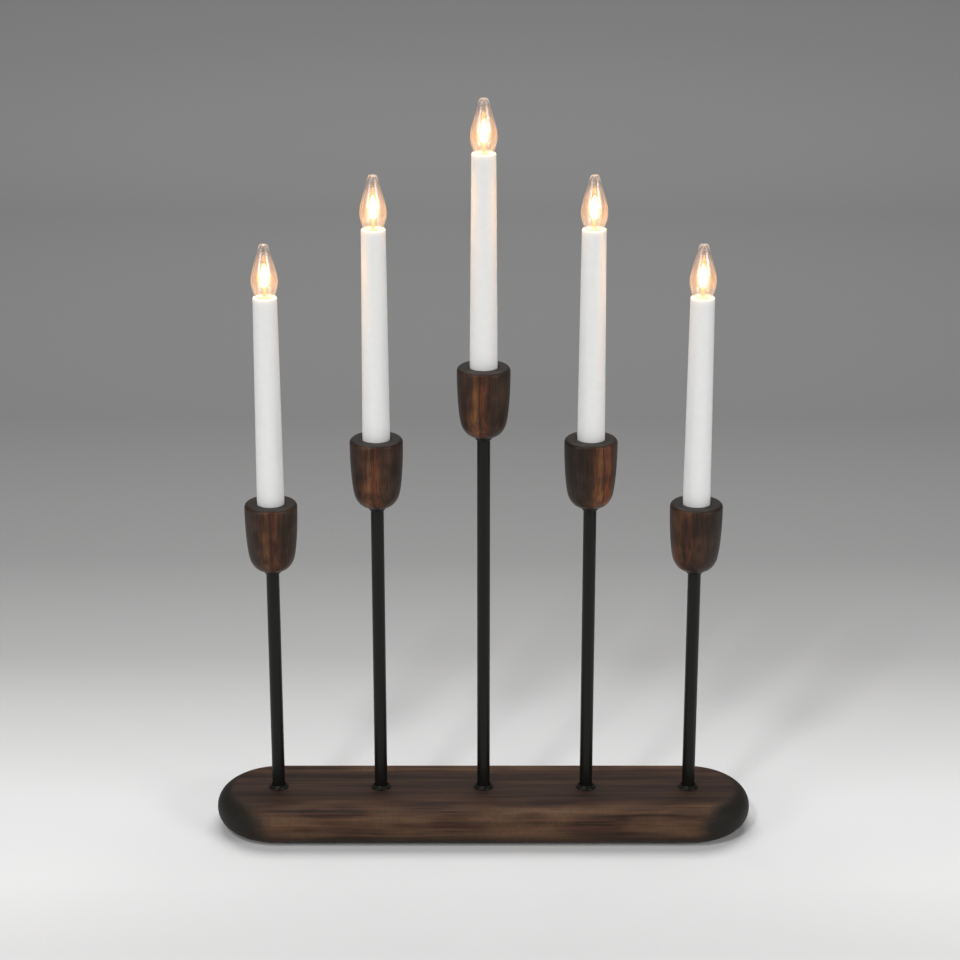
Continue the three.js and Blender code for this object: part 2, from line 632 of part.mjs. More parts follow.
// The clear flame-shaped envelope, open at the neck that stands in the cap
function makeEnvelope(number, x, sleeveTop) {
  const radius = BULB_DIAMETER / 2;
  const neck = NECK_DIAMETER / 2;
  const neckEnd = CAP_TOP - NECK_INTO_CAP;
  const throat = SLEEVE_MOUTH_DIAMETER / 2 - LOOSE_GAP;
  const outline = BULB_OUTLINE.map(([share, height]) => [radius * share, BULB_HEIGHT * height]);
  const outer = smoothPoints([[throat, 0], ...outline], BULB_OUTLINE_STEPS);
  const inner = outer.slice(0, -1).map(([r, z]) => [r - BULB_WALL, z]).reverse();
  const profile = [
    [neck - BULB_WALL, neckEnd],
    [neck, neckEnd],
    [neck, CAP_TOP],
    ...outer,
    [0, BULB_HEIGHT],
    [0, BULB_HEIGHT - 2 * BULB_WALL],
    ...inner,
    [neck - BULB_WALL, CAP_TOP],
    [neck - BULB_WALL, neckEnd],
  ];
  const envelope = addPiece(`bulb_envelope_${number}`, turned(profile, ROUND_SIDES), 'clearPlastic');
  envelope.position.set(x, 0, sleeveTop);
}

// The light guide over the diode, on a slim foot that stands on the floor of the cap
function makeGuide(number, x, sleeveTop) {
  const radius = GUIDE_DIAMETER / 2;
  const foot = GUIDE_FOOT_DIAMETER / 2;
  const height = GUIDE_TOP - GUIDE_BOTTOM;
  const profile = [
    [0, CAP_FLOOR],
    [foot, CAP_FLOOR],
    [foot, GUIDE_BOTTOM - radius / 2],
    ...GUIDE_OUTLINE.map(([share, up]) => [radius * share, GUIDE_BOTTOM + height * up]),
  ];
  const guide = addPiece(`light_guide_${number}`, turned(profile, SMALL_SIDES), 'lightGuide');
  guide.position.set(x, 0, sleeveTop);
}

// The battery box: a tray with its mouth downwards and a flange let into the board
function makeBatteryBox() {
  const x = BOX_CENTRE_X;
  const bottom = BOARD_BOTTOM;
  const shell = block(x, 0, BOX_OUTER_X, BOX_OUTER_Y, bottom, BOX_TOP);
  const flange = block(x, 0, BOX_FLANGE_X, BOX_FLANGE_Y, bottom, FLANGE_TOP);
  const below = bottom - OVERRUN;
  const hollow = block(x, 0, BOX_INNER_X, BOX_INNER_Y, below, BOX_CEILING);
  const slotX = BOX_INNER_X + 2 * (DOOR_PIN_LENGTH + LOOSE_GAP);
  const slotWidth = DOOR_PIN_DIAMETER + 2 * LOOSE_GAP;
  const slotTop = doorAxis().z + slotWidth / 2;
  const pinSlot = block(x, doorAxis().y, slotX, slotWidth, below, slotTop);
  const notchY = (BOX_OUTER_Y + BOX_FLANGE_END - FINGER_NOTCH_DIAMETER) / 2;
  const notchTop = bottom + FINGER_NOTCH_DEPTH;
  const notch = uprightRod(x, notchY, FINGER_NOTCH_DIAMETER, below, notchTop, FINE_SIDES);
  const hollowed = toGeometry(toSolid(shell).add(toSolid(flange)).subtract(toSolid(hollow)));
  const ribs = [];
  for (let i = 0; i < CELL_COUNT - 1; i += 1) {
    const ribX = x + (i - (CELL_COUNT - 2) / 2) * CELL_PITCH;
    const ribTop = BOX_CEILING + BOX_WALL / 2;
    ribs.push(block(ribX, 0, BOX_RIB_THICKNESS, CELL_LENGTH / 2, BOX_CEILING - BOX_RIB_DEPTH, ribTop));
  }
  addPiece('battery_box', shapeBody([hollowed, ...ribs], [pinSlot, notch]), 'blackPlastic');
}

// The line that the battery door turns on, in the middle of the door's thickness at its far edge
function doorAxis() {
  const halfDoor = BOX_INNER_Y / 2 - LOOSE_GAP;
  return { y: -halfDoor + DOOR_THICKNESS / 2, z: BOARD_BOTTOM + DOOR_THICKNESS / 2 };
}

// The battery door: a plate with a round hinge edge and a pin at each end of it
function makeDoor() {
  const axis = doorAxis();
  const width = BOX_INNER_X - 2 * LOOSE_GAP;
  const halfWidth = width / 2;
  const plateEnd = BOX_INNER_Y / 2 - LOOSE_GAP;
  const low = [BOX_CENTRE_X - halfWidth, axis.y, BOARD_BOTTOM];
  const plate = boxBetween(low, [BOX_CENTRE_X + halfWidth, plateEnd, DOOR_TOP]);
  const left = BOX_CENTRE_X - halfWidth;
  const right = BOX_CENTRE_X + halfWidth;
  const edge = rodAlongX(left, right, axis.y, axis.z, DOOR_THICKNESS, ROUND_SIDES);
  const pinReach = LOOSE_GAP + DOOR_PIN_LENGTH;
  const pinLeft = left - pinReach;
  const pins = rodAlongX(pinLeft, right + pinReach, axis.y, axis.z, DOOR_PIN_DIAMETER, SMALL_SIDES);
  addPiece('battery_door', shapeBody([plate, edge, pins]), 'blackPlastic');
}

// A cell lies along Y. A direction of 1 points its button towards +Y.
function makeCell(number, x, direction) {
  const radius = CELL_DIAMETER / 2;
  const nub = CELL_NUB_DIAMETER / 2;
  const bodyLength = CELL_LENGTH - CELL_NUB_LENGTH;
  const profile = [
    [0, 0],
    [radius - CELL_CHAMFER, 0],
    [radius, CELL_CHAMFER],
    [radius, bodyLength - CELL_CHAMFER],
    [radius - CELL_CHAMFER, bodyLength],
    [nub, bodyLength],
    [nub, CELL_LENGTH],
    [0, CELL_LENGTH],
  ];
  const cell = turned(profile, ROUND_SIDES);
  const springEnd = -BOX_INNER_Y / 2 + LOOSE_GAP + SPRING_SPACE;
  cell.rotateX(-direction * (Math.PI / 2));
  cell.translate(x, direction * springEnd, CELL_CENTRE_Z);
  addPiece(`battery_${number}`, cell, 'cellWrap');
}

// One spring or button contact, facing into the box from the end wall on the given side
function contactShapes(x, side, kind) {
  const wall = (side * BOX_INNER_Y) / 2;
  const inner = wall - side * CONTACT_THICKNESS;
  const reach = kind === 'spring' ? SPRING_SPACE : BUTTON_SPACE;
  const tip = wall - side * reach;
  const wide = (kind === 'spring' ? SPRING_WIDE_DIAMETER : BUTTON_WIDE_DIAMETER) / 2;
  const narrow = (kind === 'spring' ? SPRING_NARROW_DIAMETER : BUTTON_NARROW_DIAMETER) / 2;
  const length = Math.abs(tip - inner) + CONTACT_THICKNESS / 2;
  const cone = new THREE.CylinderGeometry(narrow, wide, length, SMALL_SIDES);
  if (side > 0) cone.rotateX(Math.PI);
  cone.translate(x, tip + (side * length) / 2, CELL_CENTRE_Z);
  return cone;
}

// A contact plate that carries one or two contacts against an end wall of the box
function makeContact(name, side, contacts) {
  const first = contacts[0].x;
  const last = contacts[contacts.length - 1].x;
  const halfPlate = CONTACT_HEIGHT / 2;
  const outer = (side * BOX_INNER_Y) / 2;
  const inner = outer - side * CONTACT_THICKNESS;
  const low = [first - halfPlate, Math.min(inner, outer), CELL_CENTRE_Z - halfPlate];
  const high = [last + halfPlate, Math.max(inner, outer), CELL_CENTRE_Z + halfPlate];
  const shapes = contacts.map(({ x, kind }) => contactShapes(x, side, kind));
  addPiece(name, shapeBody([boxBetween(low, high), ...shapes]), 'springSteel');
}

// The cells in series, every second one turned round, with bridges between neighbours
function makeCells() {
  const cellX = (i) => BOX_CENTRE_X + (i - (CELL_COUNT - 1) / 2) * CELL_PITCH;
  for (let i = 0; i < CELL_COUNT; i += 1) {
    makeCell(i + 1, cellX(i), i % 2 === 0 ? 1 : -1);
  }
  makeContact('contact_minus', -1, [{ x: cellX(0), kind: 'spring' }]);
  for (let i = 0; i < CELL_COUNT - 1; i += 1) {
    const side = i % 2 === 0 ? 1 : -1;
    const pair = [{ x: cellX(i), kind: 'button' }, { x: cellX(i + 1), kind: 'spring' }];
    makeContact(`contact_bridge_${i + 1}`, side, pair);
  }
  const lastSide = CELL_COUNT % 2 === 1 ? 1 : -1;
  makeContact('contact_plus', lastSide, [{ x: cellX(CELL_COUNT - 1), kind: 'button' }]);
}

// Where the switch's slider stands at rest, at the end of its slot, switched on
const SLIDER_X = TRAY_CENTRE_X - SLIDER_TRAVEL / 2;

// The tray for the circuit board, with a flange let into the board and a slot for the slider
function makeTray() {
  const x = TRAY_CENTRE_X;
  const shell = block(x, 0, TRAY_LENGTH, TRAY_WIDTH, BOARD_BOTTOM, TRAY_TOP);
  const flangeX = TRAY_LENGTH + 2 * TRAY_FLANGE;
  const flangeY = TRAY_WIDTH + 2 * TRAY_FLANGE;
  const flange = block(x, 0, flangeX, flangeY, BOARD_BOTTOM, FLANGE_TOP);
  const innerX = TRAY_LENGTH - 2 * TRAY_WALL;
  const innerY = TRAY_WIDTH - 2 * TRAY_WALL;
  const hollow = block(x, 0, innerX, innerY, FLANGE_TOP, TRAY_TOP + OVERRUN);
  const hollowed = toGeometry(toSolid(shell).add(toSolid(flange)).subtract(toSolid(hollow)));
  const posts = [];
  for (const [sideX, sideY] of [[-1, -1], [1, -1], [1, 1], [-1, 1]]) {
    const postX = x + sideX * (innerX / 2 - TRAY_POST / 2 + TRAY_WALL / 4);
    const postY = sideY * (innerY / 2 - TRAY_POST / 2 + TRAY_WALL / 4);
    posts.push(block(postX, postY, TRAY_POST, TRAY_POST, FLANGE_TOP - TRAY_WALL / 4, CIRCUIT_BOTTOM));
  }
  const slotX = SLOT_LENGTH + 2 * LOOSE_GAP;
  const slotY = SLIDER_WIDTH + 2 * LOOSE_GAP;
  const slot = block(x, 0, slotX, slotY, BOARD_BOTTOM - OVERRUN, FLANGE_TOP + OVERRUN);
  addPiece('switch_tray', shapeBody([hollowed, ...posts], [slot]), 'blackPlastic');
}

// The circuit board with its timer chip, a small capacitor and the body of the slide switch
function makeCircuit() {
  const x = TRAY_CENTRE_X;
  const length = TRAY_LENGTH - 2 * TRAY_WALL - 2 * LOOSE_GAP;
  const width = TRAY_WIDTH - 2 * TRAY_WALL - 2 * LOOSE_GAP;
  const into = CIRCUIT_THICKNESS / 4;
  const plate = block(x, 0, length, width, CIRCUIT_BOTTOM, CIRCUIT_TOP);
  const foot = CIRCUIT_TOP - into;
  const chip = block(x - length / 4, width / 4, CHIP_LENGTH, CHIP_WIDTH, foot, CIRCUIT_TOP + CHIP_HEIGHT);
  const top = CIRCUIT_TOP + CAPACITOR_HEIGHT;
  const capacitor = uprightRod(x + length / 3, -width / 4, CAPACITOR_DIAMETER, foot, top, SMALL_SIDES);
  const body = block(x, 0, SWITCH_LENGTH, SWITCH_WIDTH, SWITCH_BOTTOM, CIRCUIT_BOTTOM + into);
  const roomX = SLIDER_SHOE_LENGTH + SLIDER_TRAVEL + 2 * LOOSE_GAP;
  const roomY = SLIDER_SHOE_WIDTH + 2 * LOOSE_GAP;
  const room = block(x, 0, roomX, roomY, SHOE_BOTTOM - LOOSE_GAP, SHOE_TOP + LOOSE_GAP);
  const slotX = SLOT_LENGTH + 2 * LOOSE_GAP;
  const slotY = SLIDER_WIDTH + 2 * LOOSE_GAP;
  const slot = block(x, 0, slotX, slotY, SWITCH_BOTTOM - OVERRUN, SHOE_TOP);
  addPiece('circuit_board', shapeBody([plate, chip, capacitor, body], [room, slot]), 'circuitBoard');
}

// The switch's slider: a finger with a shoe that keeps it in the switch body
function makeSlider() {
  const tip = BOARD_BOTTOM - SLIDER_RECESS;
  const finger = block(SLIDER_X, 0, SLIDER_LENGTH, SLIDER_WIDTH, tip, SHOE_TOP - LOOSE_GAP);
  const shoe = block(SLIDER_X, 0, SLIDER_SHOE_LENGTH, SLIDER_SHOE_WIDTH, SHOE_BOTTOM, SHOE_TOP);
  addPiece('switch_slider', shapeBody([finger, shoe]), 'whitePlastic');
}

// The leads: one trunk along the groove and through the tubes, with a riser up to each lamp
function makeLoom() {
  const reach = armX(ARM_COUNT - 1);
  const parts = [rodAlongX(-reach, reach, 0, TRUNK_Z, TRUNK_DIAMETER, LEAD_SIDES)];
  for (let arm = 0; arm < ARM_COUNT; arm += 1) {
    const sleeveTop = cupTop(arm) - CUP_SEAT_DEPTH + SLEEVE_LENGTH;
    const top = sleeveTop + HOLDER_BOTTOM - LOOSE_GAP;
    parts.push(uprightRod(armX(arm), 0, RISER_DIAMETER, TRUNK_Z, top, LEAD_SIDES));
  }
  for (const side of [-1, 1]) {
    const tailX = BOX_CENTRE_X + side * CELL_PITCH;
    parts.push(uprightRod(tailX, 0, TAIL_DIAMETER, BOX_TOP + LOOSE_GAP, TRUNK_Z, LEAD_SIDES));
  }
  parts.push(uprightRod(TRAY_CENTRE_X, 0, RISER_DIAMETER, CIRCUIT_TOP + LOOSE_GAP, TRUNK_Z, LEAD_SIDES));
  addPiece('lead_loom', shapeBody(parts), 'leadSheath');
}

makeBoard();
makeFelt();
makeBatteryBox();
makeDoor();
makeCells();
makeTray();
makeCircuit();
makeSlider();
makeLoom();
for (let arm = 0; arm < ARM_COUNT; arm += 1) {
  const number = arm + 1;
  const x = armX(arm);
  const rimHeight = cupTop(arm);
  const sleeveTop = rimHeight - CUP_SEAT_DEPTH + SLEEVE_LENGTH;
  makeTube(number, x, rimHeight);
  makeCollar(number, x);
  makeNut(number, x);
  makeCup(number, x, rimHeight);
  makeSleeve(number, x, rimHeight);
  makeHolder(number, x, sleeveTop);
  makeCap(number, x, sleeveTop);
  makeEnvelope(number, x, sleeveTop);
  makeGuide(number, x, sleeveTop);
}

export default model;
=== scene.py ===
# %% [markdown]
# # A five-armed electric candle holder
# The real one stands on a window sill: an oblong board of dark stained wood carries five black
# steel tubes that rise towards the middle. Each tube ends in a turned wooden cup, the cup holds a
# white candle sleeve, and a small clear flame-shaped lamp is screwed into its top. The cells and
# the switch are let into the underside of the board.
#
# The construction model gives every place and size. This script dresses it: each piece that shows
# gets a finely divided mesh of its own, and every surface gets a finish made of nodes.

# %% Load the construction model
import math

import bmesh
import bpy
from mathutils import Matrix, Vector


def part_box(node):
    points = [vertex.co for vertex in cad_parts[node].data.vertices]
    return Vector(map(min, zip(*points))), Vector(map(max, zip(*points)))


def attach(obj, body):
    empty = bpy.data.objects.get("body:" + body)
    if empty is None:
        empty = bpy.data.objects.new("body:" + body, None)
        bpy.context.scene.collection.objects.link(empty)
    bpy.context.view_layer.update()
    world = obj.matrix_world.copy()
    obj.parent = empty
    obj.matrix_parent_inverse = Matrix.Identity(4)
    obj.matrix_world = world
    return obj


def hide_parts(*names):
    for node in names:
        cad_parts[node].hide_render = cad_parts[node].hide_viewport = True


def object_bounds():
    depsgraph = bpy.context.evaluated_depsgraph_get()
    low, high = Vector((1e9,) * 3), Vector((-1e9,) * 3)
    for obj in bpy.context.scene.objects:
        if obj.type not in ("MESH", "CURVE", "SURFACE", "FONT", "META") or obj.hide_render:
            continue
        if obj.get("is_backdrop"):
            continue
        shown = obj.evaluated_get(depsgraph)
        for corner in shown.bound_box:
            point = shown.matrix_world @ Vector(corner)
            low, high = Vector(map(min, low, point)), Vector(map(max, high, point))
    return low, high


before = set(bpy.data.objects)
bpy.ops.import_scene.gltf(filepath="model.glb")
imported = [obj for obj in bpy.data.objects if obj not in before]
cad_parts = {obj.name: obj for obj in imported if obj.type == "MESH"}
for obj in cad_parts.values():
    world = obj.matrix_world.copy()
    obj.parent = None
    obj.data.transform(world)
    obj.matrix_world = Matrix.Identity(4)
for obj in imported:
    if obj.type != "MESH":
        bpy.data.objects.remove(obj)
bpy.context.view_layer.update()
MM = 0.001
ARMS = range(1, 1 + sum(name.startswith("cup_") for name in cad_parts))

# %% [markdown]
# ## Camera
# The photograph looks slightly down at the row of candles from straight in front. The place, tilt
# and focal length were worked out from the feet of the tubes, the rims of the cups, the tops of
# the sleeves and the outline of the board, so that all of them land where they should.

# %% Camera
CAMERA_PLACE = Vector((-2.2, -1488.0, 770.6)) * MM
CAMERA_TILT_DOWN = math.radians(19.89)
FOCAL_LENGTH = 97.5

camera_data = bpy.data.cameras.new("camera")
camera_data.lens = FOCAL_LENGTH
camera = bpy.data.objects.new("camera", camera_data)
camera.location = CAMERA_PLACE
camera.rotation_euler = (math.pi / 2 - CAMERA_TILT_DOWN, 0, 0)
bpy.context.scene.collection.objects.link(camera)
bpy.context.scene.camera = camera
bpy.context.scene.view_settings.view_transform = "Standard"
print("field of view in degrees:", round(math.degrees(camera_data.angle), 2))

# %% [markdown]
# ## Colours and nodes
# Colours are written as they look on screen, as #RRGGBB, and one function turns them into the
# linear numbers that Blender's sockets take. A second function adds a node and gives it its
# settings, values and links. Every material below is built with these two, and three patterns that
# come back often are short functions of their own: a noise drawn out along an axis, a darkening
# that follows a noise, and a change from one colour to another that follows a measure.

# %% Helpers for colours and nodes
def srgb(text):
    """A #RRGGBB colour as linear red, green and blue with an alpha of 1."""
    channels = [int(text[i:i + 2], 16) / 255 for i in (1, 3, 5)]
    linear = [c / 12.92 if c <= 0.04045 else ((c + 0.055) / 1.055) ** 2.4 for c in channels]
    return (*linear, 1.0)


def add(tree, kind, inputs=None, stops=None, **settings):
    """Adds a node. An input is a value, a colour, an output or a node, whose first output is linked.

    Stops are the places and colours of a ramp. A Mix node mixes colours unless a setting says more.
    """
    node = tree.nodes.new("ShaderNode" + kind)
    if kind == "Mix":
        node.data_type = "RGBA"
    for setting, value in settings.items():
        setattr(node, setting, value)
    for key, value in (inputs or {}).items():
        if isinstance(value, bpy.types.Node):
            value = next(output for output in value.outputs if output.enabled)
        if isinstance(value, bpy.types.NodeSocket):
            tree.links.new(value, node.inputs[key])
        else:
            node.inputs[key].default_value = srgb(value) if isinstance(value, str) else value
    for i, (position, colour) in enumerate(stops or []):
        elements = node.color_ramp.elements
        element = elements[i] if i < len(elements) else elements.new(position)
        element.position = position
        element.color = srgb(colour)
    return node


finishes = {}


def new_tree(name):
    """The empty node tree of a new material, which is filed under its name in finishes."""
    finishes[name] = bpy.data.materials.new(name)
    finishes[name].use_nodes = True
    finishes[name].node_tree.nodes.clear()
    return finishes[name].node_tree


# The sockets of a colour Mix node, by number, because their names repeat
FACTOR, SIDE_A, SIDE_B = 0, 6, 7


def drawn_out(tree, place, scale, shift=(0, 0, 0), **values):
    """A noise with its own scale along each axis, in grains per metre: 1000 is 1 mm a grain."""
    mapped = add(tree, "Mapping", {"Vector": place, "Scale": scale, "Location": shift})
    return add(tree, "TexNoise", {"Vector": mapped, "Scale": 1, **values})


def darkened(tree, colour, noise, factor, dark_stop, light_stop):
    """A colour times the shade of a noise, which goes from a dark stop to a light one."""
    shade = add(tree, "ValToRGB", {"Fac": noise}, stops=[dark_stop, light_stop])
    return add(tree, "Mix", {FACTOR: factor, SIDE_A: colour, SIDE_B: shade}, blend_type="MULTIPLY")


def turning(tree, colour, other, measure, start, end, most=1.0, curve="SMOOTHSTEP"):
    """Turns a colour into another as a measure goes from a start to an end."""
    share = add(tree, "MapRange", {"Value": measure, "From Min": start, "From Max": end,
                                   "To Max": most}, interpolation_type=curve)
    return add(tree, "Mix", {FACTOR: share, SIDE_A: colour, SIDE_B: other})


print("mid grey #808080 is", round(srgb("#808080")[0], 3), "in linear light")

# %% [markdown]
# ## Shapes
# Nearly everything here is turned on a lathe or drawn as tube, so one function spins an outline
# about a vertical line. Another draws an outline out along X, for plates and boxes. The outlines
# are in millimetres. Long curves are divided finely enough that no flat facet shows, and edges
# that should be crisp are kept so by their angle. What is cut with another shape is welded
# afterwards, because a cut leaves slivers where it runs close to an edge.

# %% Helpers for shapes
def new_piece(name, points, faces, crisp_above=32):
    """A smooth closed mesh from points in millimetres, crisp where it turns by more than an angle."""
    mesh = bpy.data.meshes.new(name)
    mesh.from_pydata([Vector(point) * MM for point in points], [], faces)
    shape = bmesh.new()
    shape.from_mesh(mesh)
    bmesh.ops.recalc_face_normals(shape, faces=shape.faces)
    shape.to_mesh(mesh)
    shape.free()
    mesh.shade_smooth()
    mesh.set_sharp_from_angle(angle=math.radians(crisp_above))
    piece = bpy.data.objects.new(name, mesh)
    bpy.context.scene.collection.objects.link(piece)
    return piece


def spin(name, outline, x=0.0, sides=64, crisp_above=32):
    """Spins a closed outline of (radius, height) points about the upright line at x."""
    points, rings, faces = [], [], []
    for radius, height in outline:
        count = sides if radius > 1e-6 else 1
        rings.append(range(len(points), len(points) + count))
        for i in range(count):
            angle = 2 * math.pi * i / sides
            points.append((x + radius * math.cos(angle), radius * math.sin(angle), height))
    for lower, upper in zip(rings, [*rings[1:], rings[0]]):
        for i in range(sides):
            corners = [lower[i % len(lower)], lower[(i + 1) % len(lower)],
                       upper[(i + 1) % len(upper)], upper[i % len(upper)]]
            corners = list(dict.fromkeys(corners))
            if len(corners) > 2:
                faces.append(corners)
    return new_piece(name, points, faces, crisp_above)


def arc(centre, height, radius, start, end, steps=8):
    """(radius, height) points on part of a circle, with the angles in degrees from outwards."""
    angles = [math.radians(start + (end - start) * i / steps) for i in range(steps + 1)]
    return [(centre + radius * math.cos(a), height + radius * math.sin(a)) for a in angles]


def smooth_line(points, steps=6):
    """A smooth line through a few (radius, height) points, with some steps from each to the next."""
    ends = [points[0], *points, points[-1]]
    line = []
    for a, b, c, d in zip(ends, ends[1:], ends[2:], ends[3:]):
        for t in (i / steps for i in range(steps)):
            line.append([0.5 * (2 * q + (r - p) * t + (2 * p - 5 * q + 4 * r - s) * t ** 2
                                + (3 * q - p - 3 * r + s) * t ** 3)
                         for p, q, r, s in zip(a, b, c, d)])
    return [*line, points[-1]]


def prism(name, outline, start, end):
    """Draws a closed outline of (y, z) points out along X, from a start to an end."""
    count = len(outline)
    points = [(x, y, z) for x in (start, end) for y, z in outline]
    faces = [list(range(count)), list(range(count, 2 * count))]
    faces += [(i, (i + 1) % count, count + (i + 1) % count, count + i) for i in range(count)]
    return new_piece(name, points, faces)


def block(name, low, high):
    """A box between two corners in millimetres, to cut with or to build on."""
    (x0, y0, z0), (x1, y1, z1) = low, high
    return prism(name, [(y0, z0), (y1, z0), (y1, z1), (y0, z1)], x0, x1)


def centred(name, x, y, half_length, half_width, bottom, top):
    """A box round an upright line, from a bottom to a top."""
    return block(name, (x - half_length, y - half_width, bottom), (x + half_length, y + half_width, top))


CRISP_CUT, WELD_DISTANCE = 25, 0.004


def combine(piece, operation, *tools):
    """Cuts tools out of a piece, or joins them to it, and keeps only the result, with crisp cuts."""
    for tool in tools:
        modifier = piece.modifiers.new(operation, "BOOLEAN")
        modifier.operation = operation
        modifier.solver = "EXACT"
        modifier.object = tool
    evaluated = piece.evaluated_get(bpy.context.evaluated_depsgraph_get())
    mesh = bpy.data.meshes.new_from_object(evaluated)
    shape = bmesh.new()
    shape.from_mesh(mesh)
    bmesh.ops.remove_doubles(shape, verts=shape.verts, dist=WELD_DISTANCE * MM)
    bmesh.ops.dissolve_degenerate(shape, edges=shape.edges, dist=WELD_DISTANCE * MM)
    shape.to_mesh(mesh)
    shape.free()
    mesh.shade_smooth()
    mesh.set_sharp_from_angle(angle=math.radians(CRISP_CUT))
    piece.modifiers.clear()
    piece.data = mesh
    for tool in tools:
        bpy.data.objects.remove(tool)
    return piece


def dress(piece, slot, body, *nodes, finish=None):
    """Gives a piece the finish of its slot, fixes it to a body and lets it stand for CAD nodes."""
    piece.data.materials.clear()
    piece.data.materials.append(finishes[finish or slot])
    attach(piece, body)
    if nodes:
        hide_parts(*nodes)


def span(node):
    """The lowest and highest corner of a CAD node in millimetres."""
    low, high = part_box(node)
    return low / MM, high / MM


arm_x = {arm: sum(corner.x for corner in span(f"cup_{arm}")) / 2 for arm in ARMS}
print("arms stand at x =", [round(x, 1) for x in arm_x.values()])

# %% [markdown]
# ## Stained wood of the board
# The board is a softwood plank in a dark stain. Softwood drinks stain unevenly: the soft early
# wood turns nearly black and the hard late wood stays reddish brown, which gives long streaks of
# a millimetre or so along the plank, with thin red lines of resin between them. The rounded edges
# are lighter and warmer than the top, partly because the stain was rubbed back there and partly
# as painted light on the edges, and they are painted darker where they turn under, as painted
# shade. The round ends cut across the fibres, soak up the most stain and look nearly black.
#
# Three noises stretched along X draw the streaks, the pores and the resin lines. A slow one draws
# the patches, and where a patch is pale, short marks across the grain show, as the cutter leaves
# them.

# %% Stained wood
tree = new_tree("stained_wood")
place = add(tree, "TexCoord").outputs["Object"]
warp = add(tree, "TexNoise", {"Vector": place, "Scale": 14, "Detail": 2})
bent = add(tree, "VectorMath", {0: warp.outputs["Color"], "Scale": 0.0035}, operation="SCALE")
along = add(tree, "VectorMath", {0: place, 1: bent}, operation="ADD")
streaks = drawn_out(tree, along, (5, 170, 170), Detail=4, Roughness=0.6)
lines = drawn_out(tree, along, (12, 900, 900), Detail=3, Roughness=0.65)
resin = drawn_out(tree, along, (7, 420, 420), (3, 5, 7), Detail=2)
patches = drawn_out(tree, place, (20, 75, 75), Detail=2)
marks = drawn_out(tree, place, (1700, 260, 260), Detail=2)

grain = add(tree, "ValToRGB", {"Fac": streaks}, stops=[
    (0.32, "#2A1E18"), (0.45, "#3E2C22"), (0.55, "#503A2B"), (0.68, "#6E5038")])
plain = darkened(tree, grain, lines, 0.8, (0.36, "#8E8884"), (0.60, "#FFFFFF"))
lined = turning(tree, plain, "#4E302A", resin, 0.5, 0.66, 0.4, "LINEAR")

# On the flat top the stain lies thick and evens the streaks out. The rounded edges are lighter than the
# top: partly rubbed stain, partly painted light on the edges.
stain_and_shade_on_top = add(tree, "Mix", {FACTOR: 0.5, SIDE_A: lined, SIDE_B: "#2E2421"})
separate = add(tree, "SeparateXYZ", {0: place})
# A mask of the rounded edges, which are painted lighter: partly rubbed stain, partly painted light
EDGE_START, EDGE_FULL = 0.012, 0.037
off_centre = add(tree, "Math", {0: separate.outputs["Y"]}, operation="ABSOLUTE")
rubbed_and_lit_edge = add(tree, "MapRange", {"Value": off_centre, "From Min": EDGE_START, "From Max": EDGE_FULL},
              interpolation_type="SMOOTHSTEP")
stain_with_lit_edges = add(tree, "Mix", {FACTOR: rubbed_and_lit_edge, SIDE_A: stain_and_shade_on_top, SIDE_B: lined})

# In pale patches on the edges the bare wood comes through, with the cutter's short marks
bare = add(tree, "Mix", {FACTOR: 0.45, SIDE_A: lined, SIDE_B: "#88684E"})
marked = darkened(tree, bare, marks, 0.3, (0.40, "#A8A29C"), (0.56, "#FFFFFF"))
pale = add(tree, "MapRange", {"Value": patches, "From Min": 0.4, "From Max": 0.68})
rubbed = add(tree, "Math", {0: pale, 1: rubbed_and_lit_edge}, operation="MULTIPLY")
patched = add(tree, "Mix", {FACTOR: rubbed, SIDE_A: stain_with_lit_edges, SIDE_B: marked})

# Where the surface turns towards the ends of the plank, it cuts across the fibres
facing = add(tree, "SeparateXYZ", {0: add(tree, "TexCoord").outputs["Normal"]})
cut_across = add(tree, "Math", {0: facing.outputs["X"]}, operation="ABSOLUTE")
ragged = add(tree, "Math", {0: streaks, 1: 0.5, 2: cut_across}, operation="MULTIPLY_ADD")
ended = turning(tree, patched, "#211E1A", ragged, 0.26, 0.66)

# Painted shade: the board is painted darker where its rounding turns under and faces down
painted_shade_under = turning(tree, ended, "#1E1713", facing.outputs["Z"], 0.2, -0.65, 0.8)
pores = add(tree, "Bump", {"Height": lines, "Strength": 0.25, "Distance": 0.0004})
gloss = add(tree, "MapRange", {"Value": streaks, "To Min": 0.64, "To Max": 0.52})
shader = add(tree, "BsdfPrincipled", {"Base Color": painted_shade_under, "Roughness": gloss, "IOR": 1.5,
                                      "Specular IOR Level": 0.14, "Normal": pores})
add(tree, "OutputMaterial", {"Surface": shader})
print("board wood: the edges are rubbed from", EDGE_START / MM, "mm off the middle line")

# %% [markdown]
# ## Turned wood of the cups
# The cups are turned from blocks with the grain upright. In each, one band of hard late wood took
# less stain and shows orange-brown, with a thin dark line at its right edge and a reddish and an
# olive band beyond. Where that band lies and how pale it is differ from cup to cup, so each cup's
# mesh stores two numbers: how far across it a point is, counted from its own band, and how much
# of the band shows. A ramp of colours follows the first, and the second mixes it with the dark
# ground. A noise stretched upright makes the bands waver. The rim and the foot cut across the
# fibres, so they are darkest.

